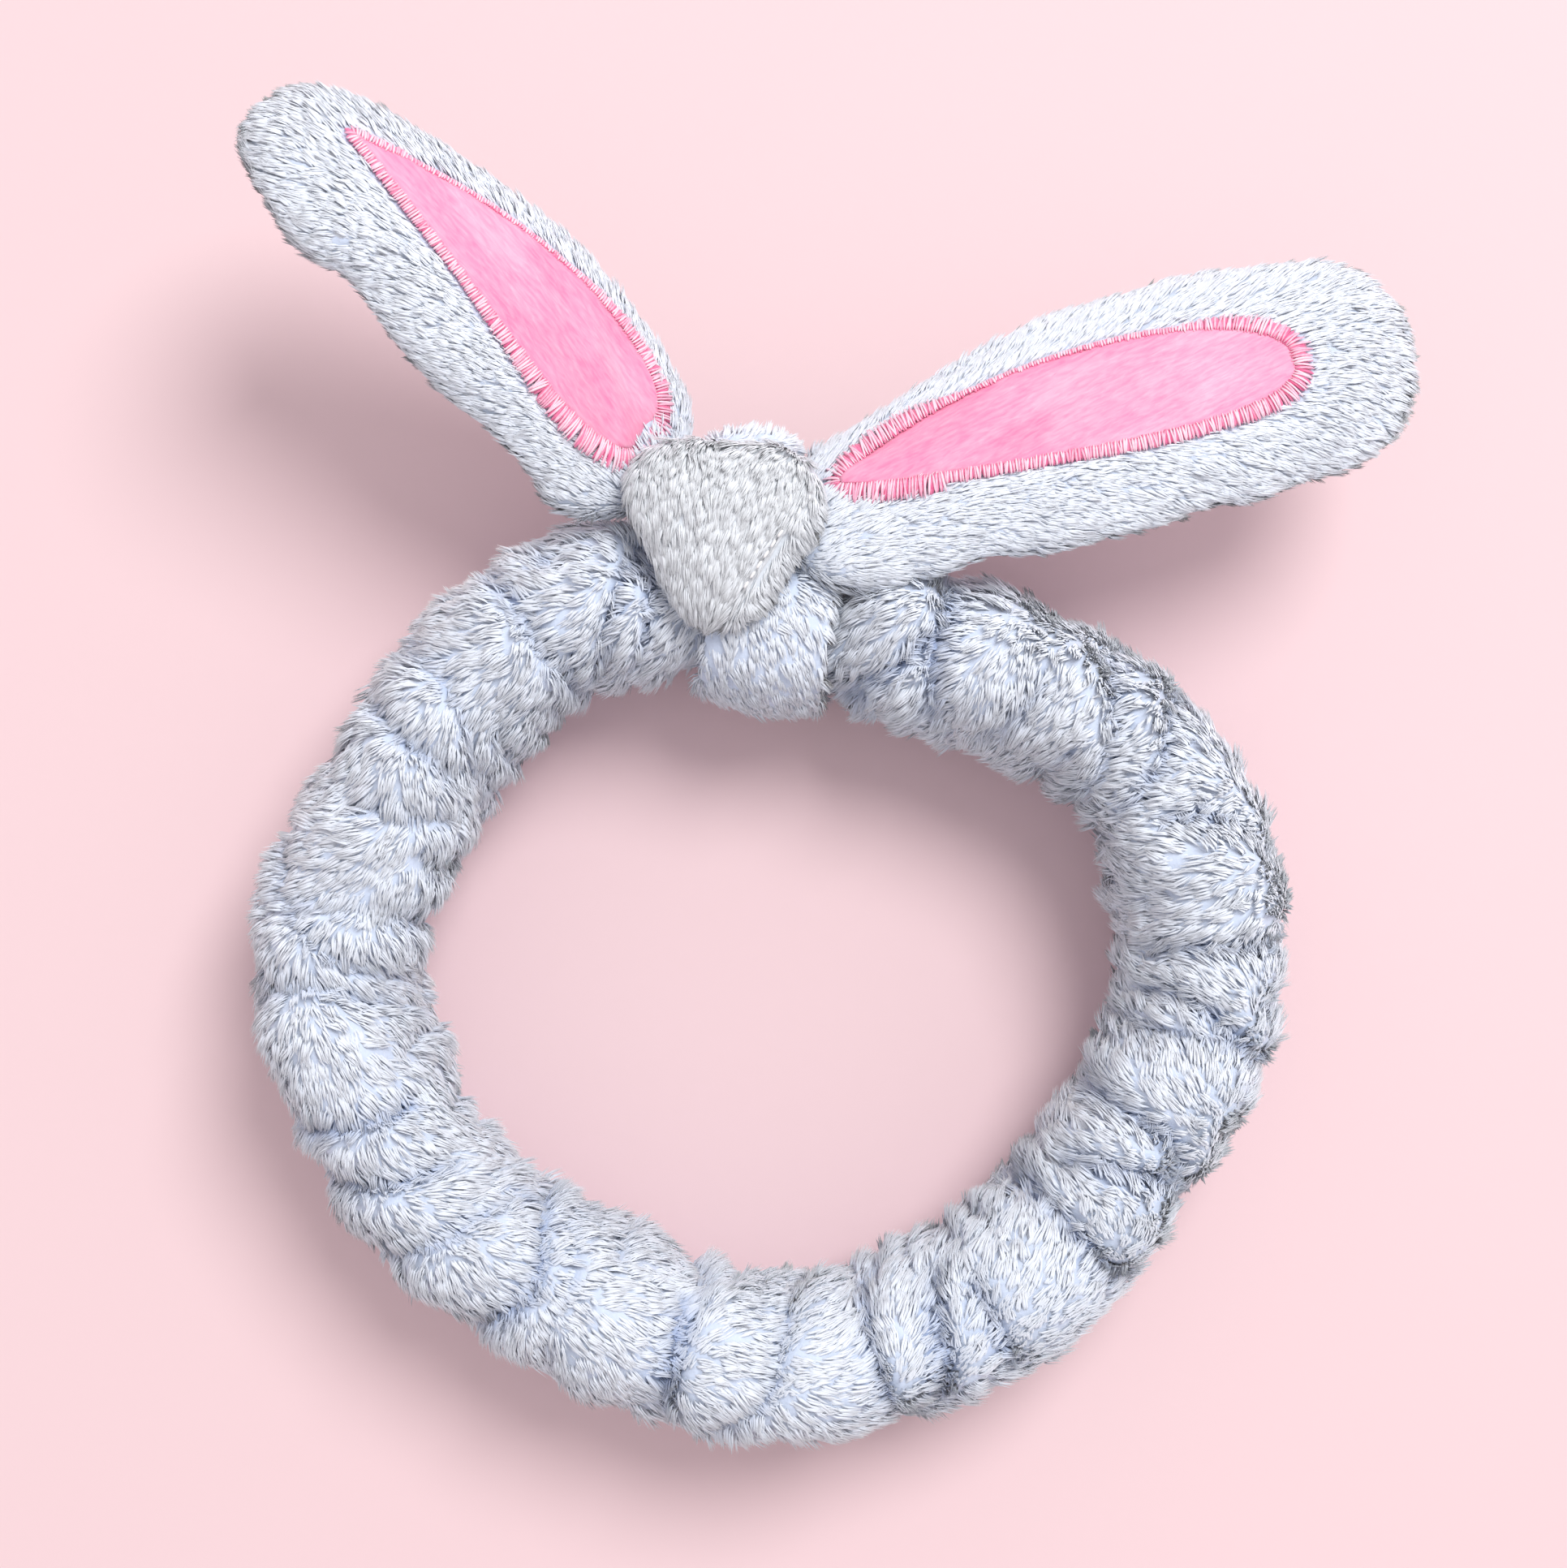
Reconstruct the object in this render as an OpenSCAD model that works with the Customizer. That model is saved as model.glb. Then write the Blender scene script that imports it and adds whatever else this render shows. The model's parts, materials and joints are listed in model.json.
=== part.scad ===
// Plush rabbit ears headband: a gathered fleece tube over an elastic loop, with a
// knotted ear strip at the top. It stands on the lower edge of the band.
// Origin: centre of the head opening, on the surface that the band stands on.
// +Y points to the knot and ears, +Z up through the head opening.

/* [Band] */
// Height of the gathered band, lower edge to upper edge
band_height = 51; // [46:1:54]
// Thickness of the gathered band, inside face to outside face
band_thickness = 33; // [31:1:34]
// Thickness of the fleece wall with its pile
fleece_wall = 6; // [5:0.5:6.5]
// How far the band narrows where the knot grips it
knot_pinch = 0.64; // [0.62:0.01:0.66]

/* [Elastic] */
// Width of the woven elastic
elastic_width = 25; // [20:1:27]
// Thickness of the woven elastic
elastic_thickness = 1.5; // [1:0.1:1.6]

/* [Ears] */
// Width of the ears against the shape drawn for them
ear_width_factor = 1; // [0.92:0.02:1.06]
// Half of the stuffed thickness of an ear
ear_half_thickness = 8.5; // [7.5:0.5:9]
// Thickness of one fleece ear panel with its pile
ear_panel = 3.2; // [2.5:0.1:3.4]
// Thickness of the satin inner ear
satin_thickness = 0.9; // [0.6:0.1:1]
// Width of the satin stitch round the inner ear
stitch_width = 3; // [2:0.5:3]

/* [Hidden] */

fleece = [0.75, 0.80, 0.89];
fleece_pale = [0.82, 0.85, 0.91];
satin_pink = [1.0, 0.52, 0.74];
thread_pink = [0.96, 0.66, 0.79];
thread_white = [0.96, 0.96, 0.97];
wadding_white = [0.95, 0.95, 0.93];
elastic_white = [0.93, 0.93, 0.92];

// Radius of the loop's middle line every 30 degrees from +X, chosen by hand: a soft
// oval that the knot flattens at 90 degrees and that lies narrower at the far side.
loop_radii = [87, 88, 75, 72, 86, 83, 87, 79, 71, 75, 76, 77];
loop_step = 30;
knot_angle = 90;
band_middle_z = band_height / 2 - 1;
band_stations = 72;
outer_points = 20;
inner_points = 12;
section_power = 2.4;
end_gap = 0.4;          // angle between each cover end and the butt line
pinch_flat = 13;        // half length of the gripped stretch
pinch_fade = 18;        // length over which the band swells back to full size

knot_middle = loop_point(knot_angle);
collar_half_angle = 9.8;    // half of the stretch that the collar covers, seen from the origin
collar_gap = 1.6;

// ---------- curves and sections ----------

function spline(p0, p1, p2, p3, f) =
    0.5 * (2 * p1 + (p2 - p0) * f + (2 * p0 - 5 * p1 + 4 * p2 - p3) * f * f
           + (3 * p1 - p0 - 3 * p2 + p3) * f * f * f);
function wrapped(list, i) = list[(i % len(list) + len(list)) % len(list)];
function loop_radius(angle) =
    let (i = floor(angle / loop_step), f = angle / loop_step - i)
    spline(wrapped(loop_radii, i - 1), wrapped(loop_radii, i),
           wrapped(loop_radii, i + 1), wrapped(loop_radii, i + 2), f);
function loop_point(angle) = loop_radius(angle) * [cos(angle), sin(angle)];
function unit(v) = v / norm(v);
function loop_out(angle) =
    let (d = unit(loop_point(angle + 0.5) - loop_point(angle - 0.5))) [d[1], -d[0]];
function signed_power(x, p) = sign(x) * pow(abs(x), p);
function smooth(x) = let (c = min(1, max(0, x))) c * c * (3 - 2 * c);
function mix(a, b, f) = a + (b - a) * f;

// 1 away from the knot, knot_pinch under it.
function pinch_at(angle) =
    let (along = abs(angle - knot_angle - 360 * round((angle - knot_angle) / 360))
                 * PI / 180 * loop_radii[3])
    mix(knot_pinch, 1, smooth((along - pinch_flat) / pinch_fade));

// A ring of points: a rounded section of the given thickness and height, across the loop.
function section_ring(angle, thickness, height, count, shift = 0) =
    let (out = loop_out(angle), p = loop_point(angle) + out * shift)
    [for (k = [0:count - 1])
        let (a = 360 * k / count,
             r = thickness / 2 * signed_power(cos(a), 2 / section_power),
             z = height / 2 * signed_power(sin(a), 2 / section_power))
        [p[0] + out[0] * r, p[1] + out[1] * r, band_middle_z + z]];

// ---------- solids from rings and grids ----------

// Side faces of rings that follow each other, count points in each.
function skin_faces(rings, count, first = 0, flip = false) =
    [for (i = [0:rings - 2], k = [0:count - 1])
        let (a = first + i * count + k, b = first + i * count + (k + 1) % count,
             c = b + count, d = a + count)
        flip ? [a, d, c, b] : [a, b, c, d]];
function flat(lists) = [for (l = lists) for (x = l) x];

// A solid through open rings, closed at both ends.
module loft(rings) {
    count = len(rings[0]);
    last = (len(rings) - 1) * count;
    polyhedron(flat(rings), concat(
        skin_faces(len(rings), count, 0, true),
        [[for (k = [0:count - 1]) k]],
        [[for (k = [count - 1:-1:0]) last + k]]));
}

// A solid through rings that come back to the first one.
module closed_loft(rings) {
    loops = concat(rings, [rings[0]]);
    count = len(rings[0]);
    total = len(rings) * count;
    faces = skin_faces(len(loops), count, 0, true);
    polyhedron(flat(rings), [for (f = faces) [for (i = f) i % total]]);
}

// A pipe with open ends: outer rings and inner rings, one of each per station.
module pipe(outer, inner) {
    no = len(outer[0]);
    ni = len(inner[0]);
    n = len(outer);
    start = n * no;
    polyhedron(concat(flat(outer), flat(inner)), concat(
        skin_faces(n, no, 0, true),
        skin_faces(n, ni, start, false),
        end_faces(0, no, start, ni, false),
        end_faces((n - 1) * no, no, start + (n - 1) * ni, ni, true)));
}

// Triangles between an outer and an inner ring with different point counts.
function end_faces(o, no, i, ni, flip) = concat(
    [for (k = [0:no - 1])
        let (f = [o + k, o + (k + 1) % no, i + floor((k + 1) * ni / no) % ni])
        flip ? [f[2], f[1], f[0]] : f],
    [for (k = [0:ni - 1])
        let (f = [i + (k + 1) % ni, i + k, o + ceil((k + 1) * no / ni - 1) % no])
        flip ? [f[2], f[1], f[0]] : f]);

// A closed slab between two grids of points, rows by columns.
module slab(top, bottom) {
    rows = len(top);
    cols = len(top[0]);
    all = rows * cols;
    function at(i, k, side) = side * all + i * cols + k;
    rim = concat(
        [for (k = [0:cols - 2]) [0, k]],
        [for (i = [0:rows - 2]) [i, cols - 1]],
        [for (k = [cols - 1:-1:1]) [rows - 1, k]],
        [for (i = [rows - 1:-1:1]) [i, 0]]);
    polyhedron(concat(flat(top), flat(bottom)), concat(
        [for (i = [0:rows - 2], k = [0:cols - 2])
            each [[at(i, k, 0), at(i + 1, k, 0), at(i, k + 1, 0)],
                  [at(i, k + 1, 0), at(i + 1, k, 0), at(i + 1, k + 1, 0)]]],
        [for (i = [0:rows - 2], k = [0:cols - 2])
            each [[at(i, k, 1), at(i, k + 1, 1), at(i + 1, k, 1)],
                  [at(i, k + 1, 1), at(i + 1, k + 1, 1), at(i + 1, k, 1)]]],
        [for (j = [0:len(rim) - 1])
            let (a = rim[j], b = rim[(j + 1) % len(rim)])
            [at(a[0], a[1], 0), at(b[0], b[1], 0), at(b[0], b[1], 1), at(a[0], a[1], 1)]]));
}

// A stitch: a short round bar between two points.
module stitch(from, to, radius = 0.4) {
    d = to - from;
    translate(from)
        rotate([0, acos(d[2] / norm(d)), atan2(d[1], d[0])])
            cylinder(h = norm(d), r = radius, $fn = 16);
}

// ---------- band ----------

cover_angles = [for (i = [0:band_stations])
    mix(knot_angle + end_gap, knot_angle + 360 - end_gap, i / band_stations)];

// Gathered fleece tube, flat where it rests. Its two ends meet under the knot.
module band_cover() {
    color(fleece) difference() {
        pipe([for (a = cover_angles)
                 section_ring(a, band_thickness * pinch_at(a), band_height * pinch_at(a), outer_points)],
             [for (a = cover_angles)
                 section_ring(a, band_thickness * pinch_at(a) - 2 * fleece_wall * pinch_at(a),
                              band_height * pinch_at(a) - 2 * fleece_wall * pinch_at(a), inner_points)]);
        translate([-150, -150, -10]) cube([300, 300, 10]);
    }
}

// Thread of the tube's long seam, inside along its lower wall.
module band_cover_seam() {
    seam_thread = 0.8;
    color(thread_white) closed_loft([for (i = [0:59])
        let (a = 360 * i / 60, p = loop_point(a),
             z = band_middle_z - band_height * pinch_at(a) / 2 + fleece_wall * pinch_at(a) + 1.4)
        [for (c = [[-1, -1], [1, -1], [1, 1], [-1, 1]])
            let (r = seam_thread / 2 * c[0], out = loop_out(a))
            [p[0] + out[0] * r, p[1] + out[1] * r, z + seam_thread / 2 * c[1]]]]);
}

// Whip stitches that close the butt joint of the tube's ends.
module band_end_stitches() {
    reach = 1.75;       // angle from the butt line to each end of a stitch
    rise = 0.8;
    function stitch_ends(angle) = section_ring(angle, band_thickness * knot_pinch + 2 * rise,
                                               band_height * knot_pinch + 2 * rise, 18);
    color(thread_white)
        for (k = [1:2:17])
            stitch(stitch_ends(knot_angle - reach)[k], stitch_ends(knot_angle + reach)[k], 0.3);
}

lap_angle = 16;      // the elastic's ends overlap over this angle
lap_middle = 270;
lap_step = 0.9;      // each end lies this far off the loop's middle line

function elastic_ring(u) =
    let (angle = mix(lap_middle - lap_angle / 2, lap_middle + 360 + lap_angle / 2, u),
         off = mix(-lap_step, lap_step, u),
         p = loop_point(angle), out = loop_out(angle),
         half = elastic_width / 2 * mix(0.8, 1, (pinch_at(angle) - knot_pinch) / (1 - knot_pinch)),
         t = elastic_thickness / 2)
    [for (c = [[-1, -1], [1, -1], [1, 1], [-1, 1]])
        [p[0] + out[0] * (off + t * c[0]), p[1] + out[1] * (off + t * c[0]), band_middle_z + half * c[1]]];

// Woven elastic loop with its ends lapped.
module elastic_band() {
    color(elastic_white) loft([for (i = [0:75]) elastic_ring(i / 75)]);
}

// Zigzag stitches across the elastic's lap, on its outer face.
module elastic_lap_stitches() {
    rows = 2;
    zigs = 6;
    y = loop_point(lap_middle)[1] - lap_step - elastic_thickness / 2 - 0.65;
    color(thread_white)
        for (row = [0:rows - 1], k = [0:zigs - 1]) {
            x = mix(-6, 6, row / (rows - 1));
            z0 = band_middle_z + elastic_width * (k / zigs - 0.5);
            stitch([x + (k % 2 == 0 ? -1.5 : 1.5), y, z0 + 0.6],
                   [x + (k % 2 == 0 ? 1.5 : -1.5), y, z0 + elastic_width / zigs - 0.6], 0.3);
        }
}

// ---------- knot ----------

collar_wall = 2.8;
collar_puff = 2.6;

// The strip's turn round the band, a puffy collar.
module knot_loop() {
    hole = [band_thickness * knot_pinch + 2 * collar_gap, band_height * knot_pinch + 2 * collar_gap];
    places = [for (i = [0:8]) mix(-1, 1, i / 8)];
    function wall(x) = 2 * (collar_wall + collar_puff * (1 - x * x));
    color(fleece) pipe(
        [for (x = places)
            section_ring(knot_angle + collar_half_angle * x, hole[0] + wall(x) - 1, hole[1] + wall(x),
                         outer_points, -0.5)],
        [for (x = places)
            section_ring(knot_angle + collar_half_angle * x, hole[0], hole[1], outer_points)]);
}

flap_middle = [-9.5, 92];
flap_radius = 18.5;
flap_turn = -4;
flap_floor = band_middle_z + band_height * knot_pinch / 2 + collar_gap + collar_wall + collar_puff + 0.4;
flap_crown = 9;

// Rounded triangle that points down to the head opening.
function flap_edge(angle) = flap_radius * (1 + 0.15 * cos(3 * (angle - 270 - flap_turn)));
function flap_point(rho, angle, z) =
    [flap_middle[0] + rho * flap_edge(angle) * cos(angle),
     flap_middle[1] + rho * flap_edge(angle) * sin(angle), z];

// The fold at the front of the knot.
module knot_flap() {
    rhos = [1, 0.97, 0.88, 0.7, 0.45, 0.2];
    edge = 1.8;
    color(fleece_pale) loft(concat(
        [[for (k = [0:23]) flap_point(0.93, 15 * k, flap_floor)]],
        [for (rho = rhos)
            [for (k = [0:23])
                flap_point(rho, 15 * k, flap_floor + edge + (flap_crown - edge) * pow(1 - pow(rho, 2.4), 0.6))]]));
}

strap_middle = [-4, 107];
strap_half_width = 6;
strap_height = 30;

// The strip's outer turn, down behind the two ear necks.
module knot_back_strap() {
    zs = [for (i = [0:6]) flap_floor - strap_height * i / 6];
    color(fleece) loft([for (i = [0:6])
        let (f = i / 3 - 1, puff = 0.8 * (1 - f * f))
        [for (k = [0:15])
            let (a = -360 * k / 16)
            [strap_middle[0] + (strap_half_width - f * f) * signed_power(cos(a), 0.8),
             strap_middle[1] + (2 + puff) * sin(a), zs[i]]]]);
}

// Dashes of hem thread along the flap's right edge.
module knot_hem_stitches() {
    z = flap_floor + flap_crown + 0.2;
    color(thread_white)
        for (k = [0:4]) {
            a = mix(-74, -16, k / 4);
            from = flap_point(0.74, a, z - 1.4);
            to = flap_point(0.74, a + 8, z - 1.4);
            stitch(from, to, 0.35);
        }
}

// Tack stitches that fix the collar to the band at its lower edge.
module knot_tack_stitches() {
    z = band_middle_z - band_height * knot_pinch / 2 - 0.65;
    color(thread_white)
        for (x = [-6, -3, 3, 6])
            stitch([x, knot_middle[1] - 2, z], [x, knot_middle[1] + 2, z], 0.3);
}

// ---------- ears ----------

// Where each ear's neck turns in the knot, and where the ear bends from its neck.
neck_z = 38;
left_neck_pivot = [-13.5, 98, neck_z];
left_ear_pivot = [-30.5, 110.5, neck_z + 1];
right_neck_pivot = [0.6, 96.5, neck_z];
right_ear_pivot = [18, 95, neck_z + 2];
neck_radius = 6.6;
root_radius = 7;

// An ear: [pivot, heading at root, heading at tip, pitch at root, pitch at tip,
//          roll at root, roll at tip, length from the pivot,
//          half widths at each quarter of the length]
left_ear = [left_ear_pivot, 131, 149, 28, 16, -26, -28, 92, [18.5, 22, 20.5, 17.5, 14.5]];
right_ear = [right_ear_pivot, 24, 8, 4, 2, 20, 16, 113, [16.5, 22.5, 25, 23.5, 20]];

function ear_roll(e, x) = mix(e[5], e[6], min(1, max(0, x / e[7])));
function ear_along(e, x) =
    let (f = min(1, max(0, x / e[7])), h = mix(e[1], e[2], f), p = mix(e[3], e[4], f))
    [cos(h) * cos(p), sin(h) * cos(p), sin(p)];
function ear_middle(e, x, steps = 8) =
    e[0] + x / steps * sum([for (i = [0:steps - 1]) ear_along(e, (i + 0.5) * x / steps)]);
function sum(list) = len(list) == 1 ? list[0] : list[0] + sum([for (i = [1:len(list) - 1]) list[i]]);
function ear_across(e, x) =
    let (t = ear_along(e, x), level = unit(cross([0, 0, 1], t)), up = cross(t, level), r = ear_roll(e, x))
    level * cos(r) - up * sin(r);
function ear_up(e, x) = cross(ear_along(e, x), ear_across(e, x));
// A point x along the ear, v across it and h above its middle surface.
function ear_point(e, x, v, h) = ear_middle(e, x) + ear_across(e, x) * v + ear_up(e, x) * h;

tip_round = 0.17;     // share of the length that the round tip takes

function ear_width_at(e, u) =
    let (w = e[8], i = min(3, floor(max(0, u) * 4)), f = u * 4 - i)
    spline(w[max(0, i - 1)], w[i], w[i + 1], w[min(4, i + 2)], f);
function ear_half(e, x) =
    let (u = max(0, x / e[7]), q = max(0, u - (1 - tip_round)) / tip_round)
    ear_width_factor * ear_width_at(e, u) * pow(max(0.002, 1 - pow(q, 2.2)), 0.5);
function ear_body(e, x) =
    let (u = x / e[7], q = max(0, u - (1 - tip_round)) / tip_round,
         full = mix(root_radius, ear_half_thickness, smooth(u / 0.3)))
    x < 0 ? sqrt(max(1.5, root_radius * root_radius - x * x))
          : full * (1 - 0.15 * smooth((u - 0.4) / 0.4)) * pow(max(0.01, 1 - q * q), 0.4);
// Height of the stuffed ear over its middle surface at share s of its half width.
function ear_height(e, x, s) = max(1, ear_body(e, x) * pow(max(0, 1 - pow(abs(s), 2.6)), 0.55));

across_steps = [-1, -0.88, -0.68, -0.4, 0, 0.4, 0.68, 0.88, 1];
function ear_stations(e) = concat([-6.9, -6, -4, -1.5],
    [for (f = [0.03, 0.11, 0.2, 0.3, 0.4, 0.5, 0.6, 0.7, 0.79, 0.87, 0.93, 0.975, 0.995]) f * e[7]]);
wadding_rows = [4, 13];
wadding_gap = 0.2;
seam_rise = 0.35;     // half of the gap that the seam thread fills between the panels

function panel_inside(e, x, s) = max(seam_rise, ear_height(e, x, s) - ear_panel);
function ear_grid(e, xs, steps, side, height) =
    [for (x = xs) [for (s = steps) ear_point(e, x, s * ear_half(e, x), side * height(e, x, s))]];
function take(list, from, to) = [for (i = [from:to]) list[i]];

module ear_panel_slab(e, side) {
    xs = ear_stations(e);
    outer = ear_grid(e, xs, across_steps, side, function (e, x, s) ear_height(e, x, s));
    inner = ear_grid(e, xs, across_steps, side, function (e, x, s) panel_inside(e, x, s));
    if (side > 0) slab(outer, inner); else slab(inner, outer);
}

// Polyester wadding between the panels.
module ear_wadding(e) {
    xs = take(ear_stations(e), wadding_rows[0], wadding_rows[1]);
    steps = take(across_steps, 1, len(across_steps) - 2);
    rise = function (e, x, s) max(0.12, panel_inside(e, x, s) - wadding_gap);
    color(wadding_white)
        slab(ear_grid(e, xs, steps, 1, rise), ear_grid(e, xs, steps, -1, rise));
}

// Seam thread between the two panels, round the ear just inside its edge.
module ear_seam(e) {
    ends = [-6.4, 0.985 * e[7]];
    centre = (ends[0] + ends[1]) / 2;
    color(thread_white) closed_loft([for (i = [0:39])
        let (a = 360 * (i + 0.5) / 40, x = centre + (ends[0] - centre) * cos(a),
             v = ear_half(e, x) * (a < 180 ? 1 : -1))
        [for (c = [[0.95, -1], [0.97, -1], [0.97, 1], [0.95, 1]])
            ear_point(e, centre + (x - centre) * c[0], v * c[0], c[1] * (seam_rise - 0.1))]]);
}

// The satin leaf: [start share, end share, half width, roundness at root, roundness at tip,
//                  shift at root, shift at tip]
left_leaf = [-0.03, 0.83, 11.2, 0.4, 1, 1, 4];
right_leaf = [-0.02, 0.78, 10.8, 0.72, 0.42, 4.5, -1];
satin_rise = 0.4;

function leaf_share(leaf, f) =
    let (a = leaf[3], b = leaf[4], peak = a / (a + b))
    pow(max(0, f), a) * pow(max(0, 1 - f), b) / (pow(peak, a) * pow(1 - peak, b));
// Outline point as [x, v] at turn angle a, grown outward by grow.
function leaf_outline(e, leaf, a, grow = 0) =
    let (f = (1 - cos(a)) / 2, half = leaf[2] * leaf_share(leaf, f),
         x = mix(leaf[0], leaf[1], f) * e[7],
         v = half * (a <= 180 ? 1 : -1))
    [x - grow * cos(a), v + mix(leaf[5], leaf[6], f) * sign(e[6]) + grow * sin(a)];
function on_ear(e, x, v, rise) = ear_point(e, x, v, ear_height(e, x, v / ear_half(e, x)) + rise);

// Satin inner ear on the front panel.
module ear_satin(e, leaf) {
    angles = [for (i = [0:20]) mix(8, 172, i / 20)];
    lanes = [-1, -0.75, -0.5, -0.25, 0, 0.25, 0.5, 0.75, 1];
    function lane(a, s, rise) =
        let (p = leaf_outline(e, leaf, a), q = leaf_outline(e, leaf, 360 - a), f = (1 - s) / 2)
        on_ear(e, p[0] * (1 - f) + q[0] * f, p[1] * (1 - f) + q[1] * f, rise);
    color(satin_pink) slab(
        [for (a = angles) [for (s = lanes) lane(a, s, satin_rise + satin_thickness)]],
        [for (a = angles) [for (s = lanes) lane(a, s, satin_rise)]]);
}

// Satin stitch border round the inner ear.
module ear_satin_stitch(e, leaf) {
    turns = [for (i = [0:55]) 360 * (i + 0.5) / 56];
    color(thread_pink) closed_loft([for (a = turns)
        [for (c = [[0.2, 0], [stitch_width, 0], [stitch_width - 0.6, 1.5], [0.8, 1.5]])
            let (p = leaf_outline(e, leaf, a, c[0]))
            on_ear(e, p[0], p[1], satin_rise + c[1])]]);
}

// The soft neck of an ear, from its turning point in the knot towards the ear.
module ear_neck(from, e) {
    d = e[0] - from;
    clear = root_radius + 2.8;     // from the ear's bending line to the neck's end
    color(fleece) difference() {
        translate(from) rotate([0, 0, atan2(d[1], d[0])]) union() {
            cylinder(h = 2 * neck_radius, r = neck_radius, center = true, $fn = 48);
            rotate([0, 90, 0]) cylinder(h = norm([d[0], d[1]]), r = neck_radius - 0.7, $fn = 48);
        }
        translate(e[0]) rotate([0, 0, e[1]]) translate([-clear, -30, -20]) cube([60, 60, 40]);
    }
}

band_cover();
band_cover_seam();
band_end_stitches();
elastic_band();
elastic_lap_stitches();
knot_loop();
knot_flap();
knot_back_strap();
knot_hem_stitches();
knot_tack_stitches();
ear_neck(left_neck_pivot, left_ear);  // left_ear_neck
ear_neck(right_neck_pivot, right_ear);  // right_ear_neck
color(fleece) ear_panel_slab(left_ear, 1);  // left_ear_front
color(fleece) ear_panel_slab(left_ear, -1);  // left_ear_back
ear_wadding(left_ear);  // left_ear_wadding
ear_seam(left_ear);  // left_ear_seam
ear_satin(left_ear, left_leaf);  // left_ear_satin
ear_satin_stitch(left_ear, left_leaf);  // left_ear_satin_stitch
color(fleece) ear_panel_slab(right_ear, 1);  // right_ear_front
color(fleece) ear_panel_slab(right_ear, -1);  // right_ear_back
ear_wadding(right_ear);  // right_ear_wadding
ear_seam(right_ear);  // right_ear_seam
ear_satin(right_ear, right_leaf);  // right_ear_satin
ear_satin_stitch(right_ear, right_leaf);  // right_ear_satin_stitch
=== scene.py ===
# %% [markdown]
# # A rabbit ears headband
# A tube of long-pile fleece is gathered over a loop of elastic. A strip of the same fleece,
# stuffed and shaped into an ear at each end, is wound round the loop and tied in a knot.
# The hidden frame gives every place and size; the pieces below are what an eye would see.

# %% The frame
import json
import math
import bpy
import numpy as np
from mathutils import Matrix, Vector
from mathutils.kdtree import KDTree


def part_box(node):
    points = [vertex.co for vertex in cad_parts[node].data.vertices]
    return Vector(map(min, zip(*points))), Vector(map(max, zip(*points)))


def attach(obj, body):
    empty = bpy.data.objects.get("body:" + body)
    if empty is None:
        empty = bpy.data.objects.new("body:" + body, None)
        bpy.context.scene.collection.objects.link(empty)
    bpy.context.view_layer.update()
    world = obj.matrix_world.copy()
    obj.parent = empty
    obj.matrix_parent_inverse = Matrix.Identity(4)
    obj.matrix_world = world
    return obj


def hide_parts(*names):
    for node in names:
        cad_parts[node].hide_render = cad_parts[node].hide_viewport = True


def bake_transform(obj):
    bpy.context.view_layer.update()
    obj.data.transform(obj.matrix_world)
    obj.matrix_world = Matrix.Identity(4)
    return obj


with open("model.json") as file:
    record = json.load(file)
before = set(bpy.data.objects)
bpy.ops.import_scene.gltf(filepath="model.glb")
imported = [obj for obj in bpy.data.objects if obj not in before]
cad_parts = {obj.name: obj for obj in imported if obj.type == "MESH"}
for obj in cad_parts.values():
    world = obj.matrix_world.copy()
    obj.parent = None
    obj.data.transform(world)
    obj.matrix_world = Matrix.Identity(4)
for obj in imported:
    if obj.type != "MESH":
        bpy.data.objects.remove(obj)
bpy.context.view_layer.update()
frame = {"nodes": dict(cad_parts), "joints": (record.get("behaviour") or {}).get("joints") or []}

nodes = frame["nodes"]
MM = 0.001

# %% [markdown]
# ## Working by hand, in code
# Operators act on whatever is selected, so each step first selects one piece alone.
# Points are moved with numpy, as a sculptor's brush would move them, because a fold
# has thousands of them.

# %% Selecting, reading and placing points
def only(piece):
    bpy.ops.object.select_all(action="DESELECT")
    piece.select_set(True)
    bpy.context.view_layer.objects.active = piece


def points(mesh):
    found = np.empty(len(mesh.vertices) * 3, np.float32)
    mesh.vertices.foreach_get("co", found)
    return found.reshape(-1, 3).astype(float)


def normals(mesh):
    found = np.empty(len(mesh.vertices) * 3, np.float32)
    mesh.vertex_normals.foreach_get("vector", found)
    return found.reshape(-1, 3).astype(float)


def place_points(mesh, where):
    mesh.vertices.foreach_set("co", np.asarray(where, np.float32).ravel())
    mesh.update()


def unit(v):
    return v / np.maximum(np.linalg.norm(v, axis=-1, keepdims=True), 1e-12)


def mark(mesh, name, values):
    """Stores one number for each point, which a material can read."""
    kept = mesh.attributes.get(name) or mesh.attributes.new(name, "FLOAT", "POINT")
    kept.data.foreach_set("value", np.asarray(values, np.float32))


def smooth_step(x):
    x = np.clip(x, 0, 1)
    return x * x * (3 - 2 * x)


def hidden_copy(name, *copied):
    """One new piece from copies of hidden nodes, with their loose triangles merged."""
    parts = []
    for node in copied:
        part = nodes[node].copy()
        part.data = nodes[node].data.copy()
        part.parent = None
        for key in list(part.keys()):
            del part[key]
        bpy.context.scene.collection.objects.link(part)
        parts.append(part)
    only(parts[0])
    for part in parts:
        part.select_set(True)
    if len(parts) > 1:
        bpy.ops.object.join()
    piece = bpy.context.view_layer.objects.active
    piece.name = piece.data.name = name
    bpy.ops.object.mode_set(mode="EDIT")
    bpy.ops.mesh.select_all(action="SELECT")
    bpy.ops.mesh.remove_doubles(threshold=0.00002)
    bpy.ops.object.mode_set(mode="OBJECT")
    piece.data.materials.clear()
    return piece

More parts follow.
